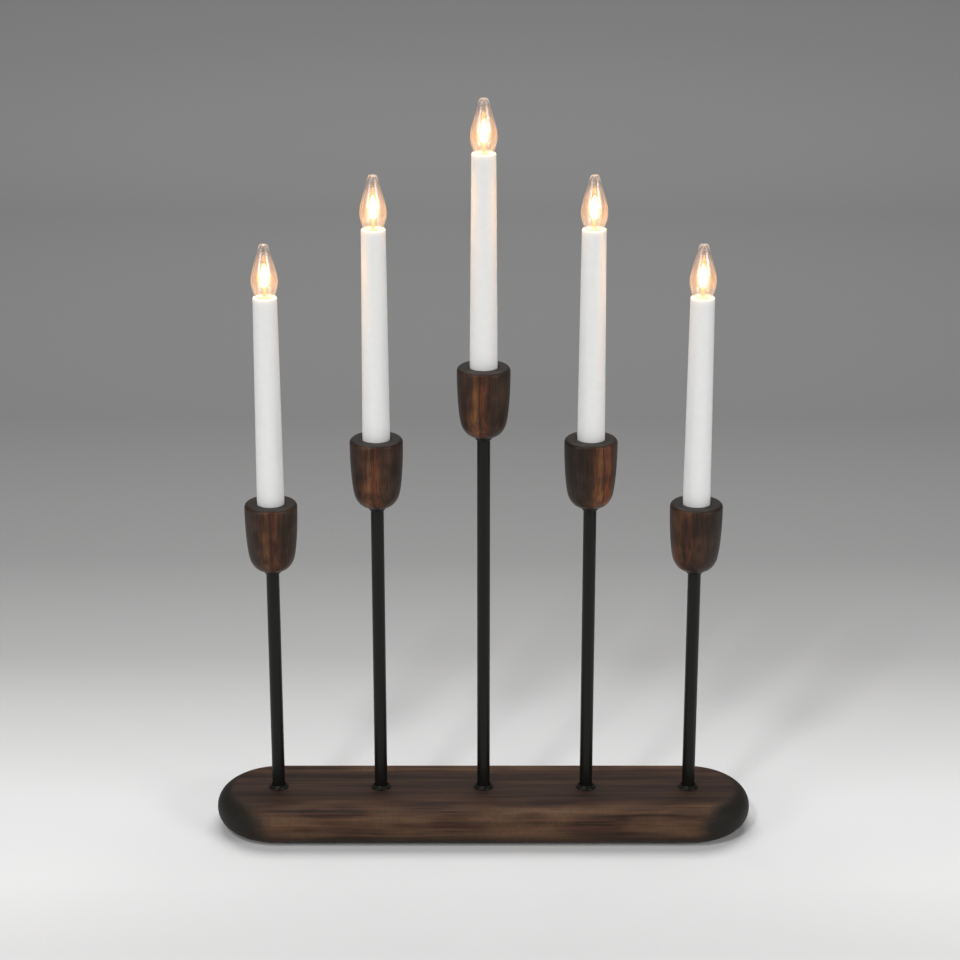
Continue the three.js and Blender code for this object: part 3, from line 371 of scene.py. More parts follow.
# %% Turned wood
ACROSS, PALENESS = "across_the_bands", "paleness_of_the_band"
BAND_MIDDLE, BAND_SPREAD = 0.5, 0.8
WAVER = 0.14
tree = new_tree("turned_wood")
coordinates = add(tree, "TexCoord")
place = coordinates.outputs["Object"]
stored = add(tree, "Attribute", attribute_name=ACROSS)
wobble = drawn_out(tree, place, (230, 230, 22), Detail=3, Roughness=0.6)
sway = add(tree, "Math", {0: wobble, 1: 0.5}, operation="SUBTRACT")
strip = add(tree, "Math", {0: sway, 1: WAVER, 2: stored.outputs["Fac"]}, operation="MULTIPLY_ADD")
bands = add(tree, "ValToRGB", {"Fac": strip}, stops=[
    (0.00, "#2A211C"), (0.22, "#35261D"), (0.31, "#3D2618"), (0.37, "#4C301E"), (0.43, "#6E4426"),
    (0.50, "#875730"), (0.545, "#744828"), (0.558, "#26160F"), (0.572, "#6C3B21"), (0.62, "#784226"),
    (0.68, "#4E341D"), (0.74, "#452C1A"), (0.80, "#513524"), (0.87, "#3F2916"), (1.0, "#32251B")])
ground = add(tree, "Mix", {FACTOR: add(tree, "Attribute", attribute_name=PALENESS).outputs["Fac"],
                           SIDE_A: "#3C291D", SIDE_B: bands})
fibres = drawn_out(tree, place, (1000, 1000, 34), Detail=3, Roughness=0.6)
fibred = darkened(tree, ground, fibres, 0.75, (0.36, "#86807C"), (0.58, "#FFFFFF"))
clouds = add(tree, "TexNoise", {"Vector": place, "Scale": 70, "Detail": 2})
clouded = darkened(tree, fibred, clouds, 0.8, (0.40, "#9C9694"), (0.62, "#FFFFFF"))
upright = add(tree, "SeparateXYZ", {0: coordinates.outputs["Normal"]})
level = add(tree, "Math", {0: upright.outputs["Z"]}, operation="ABSOLUTE")
cut_across = turning(tree, clouded, "#29231E", level, 0.45, 0.9)
pores = add(tree, "Bump", {"Height": fibres, "Strength": 0.25, "Distance": 0.0004})
shader = add(tree, "BsdfPrincipled", {"Base Color": cut_across, "Roughness": 0.42, "IOR": 1.5,
                                      "Specular IOR Level": 0.25, "Normal": pores})
add(tree, "OutputMaterial", {"Surface": shader})
print("cup wood: the pale band lies at", BAND_MIDDLE, "of the stored number, and wavers by", WAVER / 2)

# %% [markdown]
# ## Painted, moulded, plated and woven finishes
# The other finishes share one build: a noise of a given grain size shifts the colour a little
# between two tones, moves the roughness, and lifts the surface by a small height. With a grain of
# half a millimetre and little height that is a powder coat or a moulded skin, and with a coarse,
# high grain it is felt. Metals keep the default refraction and take their look from their colour.

# %% Grained finishes
ROUGHNESS_SHIFT = 0.05


def grained(slot, dark, light, roughness, grain_mm, height_mm, metallic=0.0, **more):
    """A finish of two close tones in a noise of the given grain, with a slight relief."""
    tree = new_tree(slot)
    place = add(tree, "TexCoord").outputs["Object"]
    grain = drawn_out(tree, place, [1 / (grain_mm * MM)] * 3, Detail=3)
    tones = add(tree, "ValToRGB", {"Fac": grain}, stops=[(0.35, dark), (0.65, light)])
    rough = add(tree, "MapRange", {"Value": grain, "To Min": roughness - ROUGHNESS_SHIFT,
                                   "To Max": roughness + ROUGHNESS_SHIFT})
    relief = add(tree, "Bump", {"Height": grain, "Strength": 0.4, "Distance": height_mm * MM})
    values = {"Base Color": tones, "Metallic": metallic, "Roughness": rough, "Normal": relief}
    values.update({key.replace("_", " "): value for key, value in more.items()})
    add(tree, "OutputMaterial", {"Surface": add(tree, "BsdfPrincipled", values)})


grained("black_steel", "#0E0E0C", "#141411", 0.36, 0.6, 0.02, Specular_IOR_Level=0.22)
grained("zinc_steel", "#8F9294", "#B4B6B7", 0.38, 1.5, 0.01, metallic=1.0)
grained("holder_plastic", "#CFCCC2", "#D8D5CB", 0.5, 1.0, 0.004)
grained("black_plastic", "#1A1B1D", "#212225", 0.55, 0.4, 0.02)
grained("slider_plastic", "#DCDBD6", "#E4E3DE", 0.45, 0.8, 0.004)
grained("spring_steel", "#A9AAA8", "#C6C7C5", 0.3, 0.8, 0.004, metallic=1.0)
grained("felt", "#191817", "#34312F", 0.95, 0.35, 0.3, Sheen_Weight=0.4)
grained("circuit_laminate", "#1F5A2E", "#2B6E3A", 0.45, 0.7, 0.01)
grained("lead_sheath", "#83817B", "#94928B", 0.5, 1.0, 0.01)
grained("cell_can", "#2F5A43", "#396850", 0.35, 2.0, 0.004)
grained("cap_brass", "#B98F45", "#D2AC62", 0.28, 1.2, 0.004, metallic=1.0)
print("finishes so far:", sorted(finishes))

# %% [markdown]
# ## Clear lamp and its light
# The envelope is clear moulded acrylic. Light leaves it unhindered, so it is treated as open for
# shadow rays. The little light that the moulded wall scatters is given as a faint peach glow of
# the wall itself, which is strongest beside the light and fades towards the tip. A relief and a
# slow change of that glow, both stretched upright, stand for the flow lines of the moulding, which
# draw the light into streaks. A little roughness blurs what is seen through the wall. A second,
# paler glow shows where the wall is seen edge on, as at the rim of any lit piece of acrylic.
#
# The light guide has a core that glows from yellow at its stem to nearly white in its body. Three
# frosted skins around it, each more open than the one inside, soften the edge of the glow, as the
# light in a frosted guide does.

# %% Clear envelope and lit guide
def half_open(tree, share, shader):
    """Lets a share of the light through a shader, and all of it where it goes towards a lamp."""
    path = add(tree, "LightPath")
    opening = add(tree, "Math", {0: path.outputs["Is Shadow Ray"], 1: share}, operation="MAXIMUM")
    clear = add(tree, "BsdfTransparent", {"Color": (1, 1, 1, 1)})
    mixed = add(tree, "MixShader", {0: opening, 1: shader, 2: clear})
    add(tree, "OutputMaterial", {"Surface": mixed})


WALL_GLOW = 0.6
tree = new_tree("clear_bulb")
coordinates = add(tree, "TexCoord")
height = add(tree, "SeparateXYZ", {0: coordinates.outputs["Generated"]})
haze = add(tree, "ValToRGB", {"Fac": height.outputs["Z"]}, stops=[
    (0.10, "#D0AC86"), (0.30, "#F6C08A"), (0.50, "#F2B680"), (0.70, "#B6907A"), (0.85, "#6C5A50"),
    (1.0, "#6C5A50")])
ripple = drawn_out(tree, coordinates.outputs["Object"], (520, 520, 12), Detail=1)
streaked = darkened(tree, haze, ripple, 1.0, (0.38, "#686868"), (0.62, "#999999"))

# Seen edge on, the wall is deep and gathers more of the light, most of all in the solid tip
edge_on = add(tree, "LayerWeight", {"Blend": 0.5})
rim = add(tree, "ValToRGB", {"Fac": height.outputs["Z"]}, stops=[
    (0.15, "#C89C80"), (0.5, "#D8AC90"), (0.88, "#A08878"), (0.955, "#FFF0D8")])
wall_light = turning(tree, streaked, rim, edge_on.outputs["Facing"], 0.5, 0.9)
flow_lines = add(tree, "Bump", {"Height": ripple, "Strength": 0.1, "Distance": 0.0001})
plastic = add(tree, "BsdfPrincipled", {
    "Base Color": "#FFF6F0", "Roughness": 0.14, "IOR": 1.49, "Transmission Weight": 1.0,
    "Normal": flow_lines, "Emission Color": wall_light, "Emission Strength": WALL_GLOW})
half_open(tree, 0.0, plastic)

GLOW_STRENGTH = 90
tree = new_tree("lit_guide")
height = add(tree, "SeparateXYZ", {0: add(tree, "TexCoord").outputs["Generated"]})
glow = add(tree, "ValToRGB", {"Fac": height.outputs["Z"]}, stops=[
    (0.0, "#0A0804"), (0.36, "#16130C"), (0.53, "#1A160F"), (0.57, "#4A3010"), (0.61, "#FFBC66"),
    (1.0, "#FFB85E")])
core = add(tree, "BsdfPrincipled", {"Base Color": "#A08C68", "Roughness": 0.6, "Emission Color": glow,
                                    "Emission Strength": GLOW_STRENGTH})
add(tree, "OutputMaterial", {"Surface": core})

# A skin shows only its own glow: its matt colour is nearly black, or the core would light it up
SKINS = (("frosted_skin", 0.4, 1.5, "#FFF4DC"), ("frosted_glow", 0.65, 1.5, "#FFE6BA"),
         ("frosted_rim", 0.82, 1.6, "#FFD49C"))
for name, share, strength, colour in SKINS:
    tree = new_tree(name)
    coordinates = add(tree, "TexCoord")
    height = add(tree, "SeparateXYZ", {0: coordinates.outputs["Generated"]})
    glow = add(tree, "ValToRGB", {"Fac": height.outputs["Z"]}, stops=[
        (0.0, "#C8A874"), (0.2, "#D8B884"), (0.45, colour), (0.75, colour), (1.0, "#A07C50")])
    grit = add(tree, "TexNoise", {"Vector": coordinates.outputs["Object"], "Scale": 1500})
    frosting = add(tree, "Bump", {"Height": grit, "Strength": 0.3, "Distance": 0.0001})
    skin = add(tree, "BsdfPrincipled", {
        "Base Color": "#0A0806", "Roughness": 0.9, "Specular IOR Level": 0.0, "Normal": frosting,
        "Emission Color": glow, "Emission Strength": strength})
    half_open(tree, share, skin)
print("glow of the wall:", WALL_GLOW, "of the core:", GLOW_STRENGTH)

# %% [markdown]
# ## White plastic of the candles
# The sleeves are moulded in a white plastic that lets a little light through. That only shows at
# the lip, which is thin and sits right beside the light, so the finish glows in its top few
# millimetres and is plain white below.

# %% White sleeve
tree = new_tree("glowing_sleeve")
coordinates = add(tree, "TexCoord")
height = add(tree, "SeparateXYZ", {0: coordinates.outputs["Generated"]})
GLOW_START = 0.95
near_lamp = add(tree, "ValToRGB", {"Fac": height.outputs["Z"]}, stops=[
    (GLOW_START, "#000000"), (0.982, "#3A2E20"), (0.994, "#B8A078"), (1.0, "#E8D0A0")])
cloudy = add(tree, "TexNoise", {"Vector": coordinates.outputs["Object"], "Scale": 250})
tones = add(tree, "ValToRGB", {"Fac": cloudy}, stops=[(0.35, "#EAEAE9"), (0.65, "#ECECEB")])
satin = add(tree, "MapRange", {"Value": cloudy, "To Min": 0.38, "To Max": 0.44})
shader = add(tree, "BsdfPrincipled", {"Base Color": tones, "Roughness": satin,
                                      "Emission Color": near_lamp, "Emission Strength": 0.4})
add(tree, "OutputMaterial", {"Surface": shader})
sleeve_low, sleeve_high = span("candle_sleeve_1")
print("the glow starts", round((1 - GLOW_START) * (sleeve_high - sleeve_low).z), "mm below the lip")

# %% [markdown]
# ## The board
# The real board is an oblong plank whose long edges and round ends were run past a rounding
# cutter, so that its side is nearly a half circle. It is stacked here from outlines that shrink
# inwards along a quarter circle, and then bored and routed from below as in the workshop: holes
# for the tubes, wide pockets for their nuts, a groove for the leads, and recesses for the
# battery box and the switch tray, each a little larger than what goes into it.

# %% Board
EDGE_RADIUS, EDGE_STEPS, END_STEPS = 11.5, 12, 40
FLAT_INSET = EDGE_RADIUS + 0.3
board_low, board_high = span("base_board")
end_radius = (board_high.y - board_low.y) / 2
reach = board_high.x - end_radius
edge = [(FLAT_INSET, board_low.z)]
for middle_z, start in ((board_low.z + EDGE_RADIUS, -90), (board_high.z - EDGE_RADIUS, 0)):
    quarter = arc(0, 0, EDGE_RADIUS, start, start + 90, EDGE_STEPS)
    edge += [(EDGE_RADIUS - r, middle_z + z) for r, z in quarter]
edge.append((FLAT_INSET, board_high.z))
points, faces = [], []
for inset, height_at in edge:
    for side, start in ((1, -90), (-1, 90)):
        for radius, y in arc(0, 0, end_radius - inset, start, start + 180, END_STEPS):
            points.append((side * reach + radius, y, height_at))
count = 2 * (END_STEPS + 1)
for lower in range(0, (len(edge) - 1) * count, count):
    for i in range(count):
        j = (i + 1) % count
        faces.append([lower + i, lower + j, lower + count + j, lower + count + i])
faces.append(list(range(count)))
faces.append(list(range((len(edge) - 1) * count, len(edge) * count)))
board = new_piece("board", points, faces)

POCKET_RADIUS, NUT_SEAT, COLLAR_OVERHANG = 9, 11.0, 1.9
GROOVE_HALF, GROOVE_TOP = 2.5, 19.1
FLANGE_ROOM, FLANGE_SEAT, BOX_ROOM = 0.3, 2.5, 0.5
below, above = board_low.z - 1, 30
tools = []
for arm in ARMS:
    hole = (span(f"foot_collar_{arm}")[1].x - arm_x[arm]) - COLLAR_OVERHANG
    outline = [(0, below), (POCKET_RADIUS, below), (POCKET_RADIUS, NUT_SEAT), (hole, NUT_SEAT),
               (hole, above), (0, above)]
    tools.append(spin("hole_and_pocket", outline, arm_x[arm], sides=48))
groove_reach = arm_x[len(ARMS)] + GROOVE_HALF
tools.append(centred("groove", 0, 0, groove_reach, GROOVE_HALF, below, GROOVE_TOP))
for node, flange_x, flange_y in (("battery_box", 2.4, 1.0), ("switch_tray", 2.0, 2.0)):
    low, high = span(node)
    tools.append(block("rebate", (low.x - FLANGE_ROOM, low.y - FLANGE_ROOM, below),
                       (high.x + FLANGE_ROOM, high.y + FLANGE_ROOM, FLANGE_SEAT)))
    tools.append(block("recess", (low.x + flange_x - BOX_ROOM, low.y + flange_y - BOX_ROOM, below),
                       (high.x - flange_x + BOX_ROOM, high.y - flange_y + BOX_ROOM, high.z + 0.3)))
combine(board, "DIFFERENCE", *tools)
dress(board, "stained_wood", "root", "base_board")
print("board faces:", len(board.data.polygons))

# %% [markdown]
# ## Tubes and collars
# Each arm is a length of drawn steel tube in satin black, with a bead rolled into it that the cup
# stands on. A small collar with a sloping face covers the hole where the tube enters the board.
# The tubes are really hollow, and a cross hole near the foot lets the leads through.

# %% Tubes and collars
TUBE_RADIUS, TUBE_BORE, TUBE_CHAMFER = 4.0, 3.0, 0.3
BEAD = [(4.0, -1.75), (4.5, -1.45), (5.1, -1.1), (5.2, -0.7), (5.1, -0.2), (4.9, 0)]
LEAD_HOLE_RADIUS, DRILL_HALF, TRUNK_Z = 2.1, 6, 17.5
for arm in ARMS:
    x = arm_x[arm]
    low, high = span(f"stem_tube_{arm}")
    cup_foot = span(f"cup_{arm}")[0].z
    outline = [(TUBE_BORE, low.z), (TUBE_RADIUS - TUBE_CHAMFER, low.z), (TUBE_RADIUS, low.z + TUBE_CHAMFER),
               *smooth_line([(r, cup_foot + z) for r, z in BEAD], 4), (TUBE_RADIUS, cup_foot),
               (TUBE_RADIUS, high.z - TUBE_CHAMFER), (TUBE_RADIUS - TUBE_CHAMFER, high.z),
               (TUBE_BORE, high.z)]
    tube = spin(f"tube_{arm}", outline, x, sides=48)
    drill = spin("drill", [(0, -DRILL_HALF), (LEAD_HOLE_RADIUS, -DRILL_HALF),
                           (LEAD_HOLE_RADIUS, DRILL_HALF), (0, DRILL_HALF)], sides=24)
    drill.rotation_euler = (0, math.pi / 2, 0)
    drill.location = Vector((x, 0, TRUNK_Z)) * MM
    combine(tube, "DIFFERENCE", drill)
    dress(tube, "black_steel", "root", f"stem_tube_{arm}")

    low, high = span(f"foot_collar_{arm}")
    outer, hole = high.x - x, high.x - x - COLLAR_OVERHANG
    slope = smooth_line([(outer, low.z + 0.35), (outer - 0.2, low.z + 0.75), (hole + 1.0, low.z + 1.3),
                         (hole + 0.4, high.z - 0.3), (hole + 0.15, high.z)], 4)
    outline = [(hole, low.z), (outer - 0.15, low.z), (outer, low.z + 0.15), *slope, (hole, high.z - 0.1)]
    dress(spin(f"collar_{arm}", outline, x, sides=48), "black_steel", "root", f"foot_collar_{arm}")
print("tubes and collars:", 2 * len(ARMS))

# %% [markdown]
# ## Cups
# A cup is turned to a soft tulip shape: a flat rim with a rounded edge, sides that taper slightly
# and a rounded foot. The outline is a smooth line through a few shares of its width and height,
# the bore has a small chamfer, and a seat inside carries the sleeve.

# %% Cups
CUP_OUTLINE = [(0.998, 0.82), (0.985, 0.66), (0.955, 0.48), (0.905, 0.3), (0.825, 0.165), (0.665, 0.07),
               (0.45, 0.018)]
RIM_ROUNDING, BORE_CHAMFER, SEAT_DEPTH, FOOT_RADIUS, TUBE_HOLE = 2.6, 0.4, 26, 4.75, 4.3
BAND_PLACES = (0.46, 0.38, 0.36, 0.66, 0.18)
BAND_PALENESS = (0.55, 0.75, 0.85, 1.0, 0.5)
for arm, band_place, paleness in zip(ARMS, BAND_PLACES, BAND_PALENESS):
    x = arm_x[arm]
    low, high = span(f"cup_{arm}")
    radius, tall = high.x - x, high.z - low.z
    bore = span(f"candle_sleeve_{arm}")[1].x - x + 0.3
    rim = arc(radius - RIM_ROUNDING, high.z - RIM_ROUNDING, RIM_ROUNDING, 0, 90, 12)
    flank = [(radius * r, low.z + tall * z) for r, z in CUP_OUTLINE]
    side = smooth_line([rim[0], *flank, (FOOT_RADIUS, low.z)], 6)
    outline = [(TUBE_HOLE, low.z), *side[::-1], *rim[1:], (bore + BORE_CHAMFER, high.z),
               (bore, high.z - BORE_CHAMFER), (bore, high.z - SEAT_DEPTH), (TUBE_HOLE, high.z - SEAT_DEPTH)]
    cup = spin(f"turned_cup_{arm}", outline, x, sides=96)
    across = cup.data.attributes.new(ACROSS, "FLOAT", "POINT").data
    shown = cup.data.attributes.new(PALENESS, "FLOAT", "POINT").data
    for vertex, distance, share in zip(cup.data.vertices, across, shown):
        from_left = (vertex.co.x / MM - low.x) / (high.x - low.x)
        distance.value = (from_left - band_place) * BAND_SPREAD + BAND_MIDDLE
        share.value = paleness
    dress(cup, "turned_wood", "root", f"cup_{arm}")
print("cup outline points:", len(outline))

# %% [markdown]
# ## Candle sleeves and lamp holders
# The candle is a moulded white tube, slightly wider at its foot, that closes in to a rounded lip
# around the lamp. The holder sits under the lip. It is a thin socket with a thread inside, drawn
# here as rings because only the first turn can be seen beside the lamp.

# %% Sleeves and holders
SLEEVE_WALL, LIP_ROUNDING, LIP_THICKNESS, SMALL_EDGE = 1.1, 0.9, 1.5, 0.3
TOP_RADIUS, MOUTH_RADIUS = 7.3, 5.6
HOLDER_RADIUS, HOLDER_BORE, HOLDER_FLOOR = 5.9, 5.05, 2.4
THREAD_PITCH, THREAD_DEPTH, THREAD_RINGS, FIRST_RING = 1.81, 0.3, 7, 1.2
for arm in ARMS:
    x = arm_x[arm]
    low, high = span(f"candle_sleeve_{arm}")
    foot = high.x - x
    outline = [(foot - SLEEVE_WALL, low.z), (foot - SMALL_EDGE, low.z), (foot, low.z + SMALL_EDGE),
               *arc(TOP_RADIUS - LIP_ROUNDING, high.z - LIP_ROUNDING, LIP_ROUNDING, 0, 90, 8),
               *arc(MOUTH_RADIUS + SMALL_EDGE, high.z - SMALL_EDGE, SMALL_EDGE, 90, 180, 4),
               (MOUTH_RADIUS, high.z - LIP_THICKNESS), (TOP_RADIUS - SLEEVE_WALL, high.z - LIP_THICKNESS)]
    dress(spin(f"sleeve_{arm}", outline, x, sides=64), "white_plastic", "root", f"candle_sleeve_{arm}",
          finish="glowing_sleeve")

    low, high = span(f"lamp_holder_{arm}")
    seat = low.z + HOLDER_FLOOR
    rings = []
    for i in range(THREAD_RINGS):
        start = high.z - FIRST_RING - i * THREAD_PITCH
        rings += [(HOLDER_BORE, start), (HOLDER_BORE + THREAD_DEPTH, start - THREAD_PITCH / 2)]
    outline = [(0, low.z), (HOLDER_RADIUS - 0.4, low.z), (HOLDER_RADIUS, low.z + 0.4),
               (HOLDER_RADIUS, high.z), (HOLDER_BORE + 0.2, high.z), *rings,
               (HOLDER_BORE, seat + SMALL_EDGE), (HOLDER_BORE - SMALL_EDGE, seat), (0, seat)]
    dress(spin(f"holder_{arm}", outline, x, sides=48), "holder_plastic", "root", f"lamp_holder_{arm}")
print("sleeve length in mm:", round(span("candle_sleeve_1")[1].z - span("candle_sleeve_1")[0].z, 1))

# %% [markdown]
# ## Lamps
# A lamp is three pieces that move together when it is unscrewed: the brass cap with a rolled
# thread, the clear envelope with a blunt tip, and the light guide over the diode. The thread is a
# real helix: the radius at each point follows how far it is along the turn. The guide is turned as
# a core and three skins, one outline that grows a little from each to the next.

# %% Lamps
CAP_CREST, CAP_ROOT, CAP_LENGTH, CAP_DROP, CAP_BORE, CAP_FLOOR = 4.75, 4.4, 11.0, 2.2, 3.9, 0.5
CAP_FOOT = [(0, -2.6), (1.1, -2.6), (1.6, -2.2), (1.6, -1.4), (2.5, -1.4), (CAP_ROOT - 0.2, -0.1)]
CAP_SIDES, CAP_ROWS, RUN_IN, RUN_OUT = 48, 60, 1.2, 1.6
ENVELOPE = [(5.3, 0), (6.05, 1.2), (7.05, 4.0), (7.85, 7.6), (7.95, 9.6), (7.6, 13.2), (6.6, 17.4),
            (5.4, 21.6), (4.25, 25.4), (3.5, 28.2), (3.05, 30.0), (2.8, 31.0), (2.25, 31.8), (1.2, 32.15)]
WALL, TIP_HEIGHT, NECK_RADIUS, NECK_LENGTH = 0.8, 32.2, 3.6, 2.5
HOLLOW_TOP = [(3.45, 25.4), (2.65, 28.0), (1.85, 29.8), (1.1, 30.8), (0.45, 31.3), (0.0, 31.5)]
HOLLOW = [(r - WALL, z) for r, z in ENVELOPE if z < HOLLOW_TOP[0][1]] + HOLLOW_TOP
STEM_RADIUS, SKIN_FOOT, CORE_FOOT, CORE_TOP = 0.9, 1.6, 4.4, 20.4
CORE = [(0.9, 5.0), (1.45, 6.4), (2.1, 8.2), (2.3, 10.0), (2.0, 13.0), (1.5, 16.0), (0.9, 18.6),
        (0.35, 20.0)]
SHELLS = (("core", "lit_guide", 0.0), ("guide", "frosted_skin", 0.55),
          ("guide_glow", "frosted_glow", 1.2), ("guide_rim", "frosted_rim", 2.1))
for arm in ARMS:
    x = arm_x[arm]
    top = span(f"candle_sleeve_{arm}")[1].z
    cap_top, cap_low = top - CAP_DROP, top - CAP_DROP - CAP_LENGTH
    outline = [(r, cap_low + z) for r, z in CAP_FOOT]
    outline += [(CAP_ROOT, cap_low + CAP_LENGTH * i / CAP_ROWS) for i in range(CAP_ROWS + 1)]
    outline += [(CAP_BORE, cap_top), (CAP_BORE, cap_low + CAP_FLOOR), (0, cap_low + CAP_FLOOR)]
    cap = spin(f"cap_{arm}", outline, x, sides=CAP_SIDES, crisp_above=50)
    for vertex in cap.data.vertices:
        from_axis = vertex.co - Vector((x * MM, 0, vertex.co.z))
        up = vertex.co.z / MM - cap_low
        if from_axis.length / MM > CAP_ROOT - 0.01 and up > -0.01:
            turn = math.atan2(from_axis.y, from_axis.x) / (2 * math.pi)
            wave = 0.5 - 0.5 * math.cos(2 * math.pi * (up / THREAD_PITCH - turn))
            fade = min(1, max(0, up / RUN_IN)) * min(1, max(0, (CAP_LENGTH - up) / RUN_OUT))
            grown = (CAP_ROOT + (CAP_CREST - CAP_ROOT) * wave * fade) / (from_axis.length / MM)
            vertex.co.x, vertex.co.y = x * MM + from_axis.x * grown, from_axis.y * grown
    dress(cap, "cap_brass", f"bulb_{arm}", f"bulb_cap_{arm}")

    outer = smooth_line([*ENVELOPE, (0, TIP_HEIGHT)], 5)
    inner = smooth_line(HOLLOW, 5)
    neck_low = cap_top - NECK_LENGTH
    outline = [(NECK_RADIUS - WALL, neck_low), (NECK_RADIUS, neck_low), (NECK_RADIUS, cap_top),
               *[(r, top + z) for r, z in [*outer, *inner[::-1]]], (NECK_RADIUS - WALL, cap_top)]
    envelope = spin(f"envelope_{arm}", outline, x, sides=64, crisp_above=60)
    dress(envelope, "clear_bulb", f"bulb_{arm}", f"bulb_envelope_{arm}")

    for name, finish, grow in SHELLS:
        foot = cap_low + CAP_FLOOR if grow == 0 else top + SKIN_FOOT - grow / 2
        stem = STEM_RADIUS + grow / 3.5
        share = [min(1, (z - CORE_FOOT) / 6, (CORE_TOP + 1 - z) / 9) for r, z in CORE]
        wide = [(r + grow * s * (2 - s), z + grow * (z - CORE_FOOT) / 30) for (r, z), s in zip(CORE, share)]
        outline = [(0, foot), (stem, foot), (stem, top + CORE_FOOT),
                   *[(r, top + z) for r, z in smooth_line(wide, 5)], (0, top + CORE_TOP + grow * 0.6)]
        shell = spin(f"{name}_{arm}", outline, x, sides=48, crisp_above=60)
        nodes = [f"light_guide_{arm}"] if grow == 0 else []
        dress(shell, "lit_guide", f"bulb_{arm}", *nodes, finish=finish)
print("lamps:", len(ARMS), "each", len(cap.data.polygons) + len(envelope.data.polygons), "faces")

# %% [markdown]
# ## Nuts under the board
# Plated hexagon nuts clamp the tubes from below. A real nut is turned at both faces before it is
# threaded, which leaves a round chamfer on its six corners. So it is turned here as a chamfered
# ring, and every point that lies outside the hexagon is then moved in to the nearest flat, as a
# milling cutter would leave it. The chamfer keeps its arcs on the corners.

# %% Nuts
NUT_CORNER, NUT_FACE, CORNER_CHAMFER, NUT_BORE, THREAD_CHAMFER = 7.5, 6.3, 0.7, 4.3, 0.4
CHAMFER_ROWS, NUT_SIDES = 6, 72
to_flat = NUT_CORNER * math.cos(math.pi / 6)
for arm in ARMS:
    x = arm_x[arm]
    low, high = span(f"stem_nut_{arm}")
    chamfer = [(NUT_FACE + (NUT_CORNER - NUT_FACE) * i / CHAMFER_ROWS, CORNER_CHAMFER * i / CHAMFER_ROWS)
               for i in range(CHAMFER_ROWS + 1)]
    outline = [(NUT_BORE, low.z + THREAD_CHAMFER), (NUT_BORE + THREAD_CHAMFER, low.z),
               *[(r, low.z + rise) for r, rise in chamfer],
               *[(r, high.z - rise) for r, rise in chamfer[::-1]],
               (NUT_BORE + THREAD_CHAMFER, high.z), (NUT_BORE, high.z - THREAD_CHAMFER)]
    nut = spin(f"nut_{arm}", outline, x, sides=NUT_SIDES)
    for vertex in nut.data.vertices:
        from_axis = vertex.co - Vector((x * MM, 0, vertex.co.z))
        from_flat = (math.atan2(from_axis.y, from_axis.x) % (math.pi / 3)) - math.pi / 6
        outside = from_axis.length * math.cos(from_flat) / (to_flat * MM)
        if outside > 1:
            vertex.co.x, vertex.co.y = x * MM + from_axis.x / outside, from_axis.y / outside
    nut.data.set_sharp_from_angle(angle=math.radians(CRISP_CUT))
    dress(nut, "zinc_steel", "root", f"stem_nut_{arm}")
print("faces of a nut:", len(nut.data.polygons))

# %% [markdown]
# ## Cells and their contacts
# Each cell is a steel can in a printed plastic wrap that is shrunk over both of its ends and leaves
# the button and a ring of steel bare, so can and wrap are two pieces. The contacts are strips of
# nickel-plated spring steel. Against the flat end of a cell stands a spring of wire, wound as a
# cone so that it can press flat, and against the button a small pressed dome.
#
# The wire is a tube drawn along a formula: the radius shrinks and the height grows with the turn.

# %% Cells and contacts
def lay(piece, x, y, z, direction):
    """Lays a piece that was built upright about the origin along Y, and moves its foot to a place."""
    turn = Matrix.Rotation(-direction * math.pi / 2, 4, "X")
    piece.data.transform(Matrix.Translation(Vector((x, y, z)) * MM) @ turn)
    return piece


def wire(name, path, radius, sides=10):
    """A closed round wire along a path of points in millimetres."""
    points, faces = [], []
    side = Vector((0, 0, 1))
    for i, place in enumerate(path):
        ahead = (path[min(i + 1, len(path) - 1)] - path[max(i - 1, 0)]).normalized()
        side = (side - ahead * side.dot(ahead)).normalized()
        other = ahead.cross(side)
        for k in range(sides):
            angle = 2 * math.pi * k / sides
            points.append(place + (side * math.cos(angle) + other * math.sin(angle)) * radius)
    for i in range(len(path) - 1):
        for k in range(sides):
            j = (k + 1) % sides
            faces.append([i * sides + k, i * sides + j, (i + 1) * sides + j, (i + 1) * sides + k])
    faces.append(list(range(sides)))
    faces.append(list(range(len(points) - sides, len(points))))
    return new_piece(name, points, faces, crisp_above=60)


WIRE_RADIUS, SPRING_TURNS, SPRING_FOOT, SPRING_TIP, SPRING_LENGTH = 0.25, 3.5, 3.1, 1.65, 2.8
TURN_STEPS, DOME_HEIGHT, STRIP_THICKNESS, STRIP_ROUNDING = 24, 0.5, 0.4, 0.12
WRAP = [(4.5, 0.12), (4.5, 0.0), (4.95, 0.0), (5.25, 0.3), (5.25, 43.4), (4.95, 43.7), (4.1, 43.7),
        (4.1, 43.58), (4.9, 43.5), (5.1, 43.3), (5.1, 0.4), (4.9, 0.15)]
CAN = [(0, 0.1), (4.4, 0.1), (4.9, 0.2), (5.05, 0.4), (5.05, 43.3), (4.85, 43.5), (3.4, 43.55), (2.6, 43.5),
       (2.1, 43.6), (1.9, 43.8), (1.9, 44.25), (1.7, 44.5), (0, 44.5)]
DOME = [(0, -0.2), (2.65, -0.2), (2.65, 0.0), (2.2, 0.08), (1.6, 0.32), (1.0, 0.46), (0, DOME_HEIGHT)]
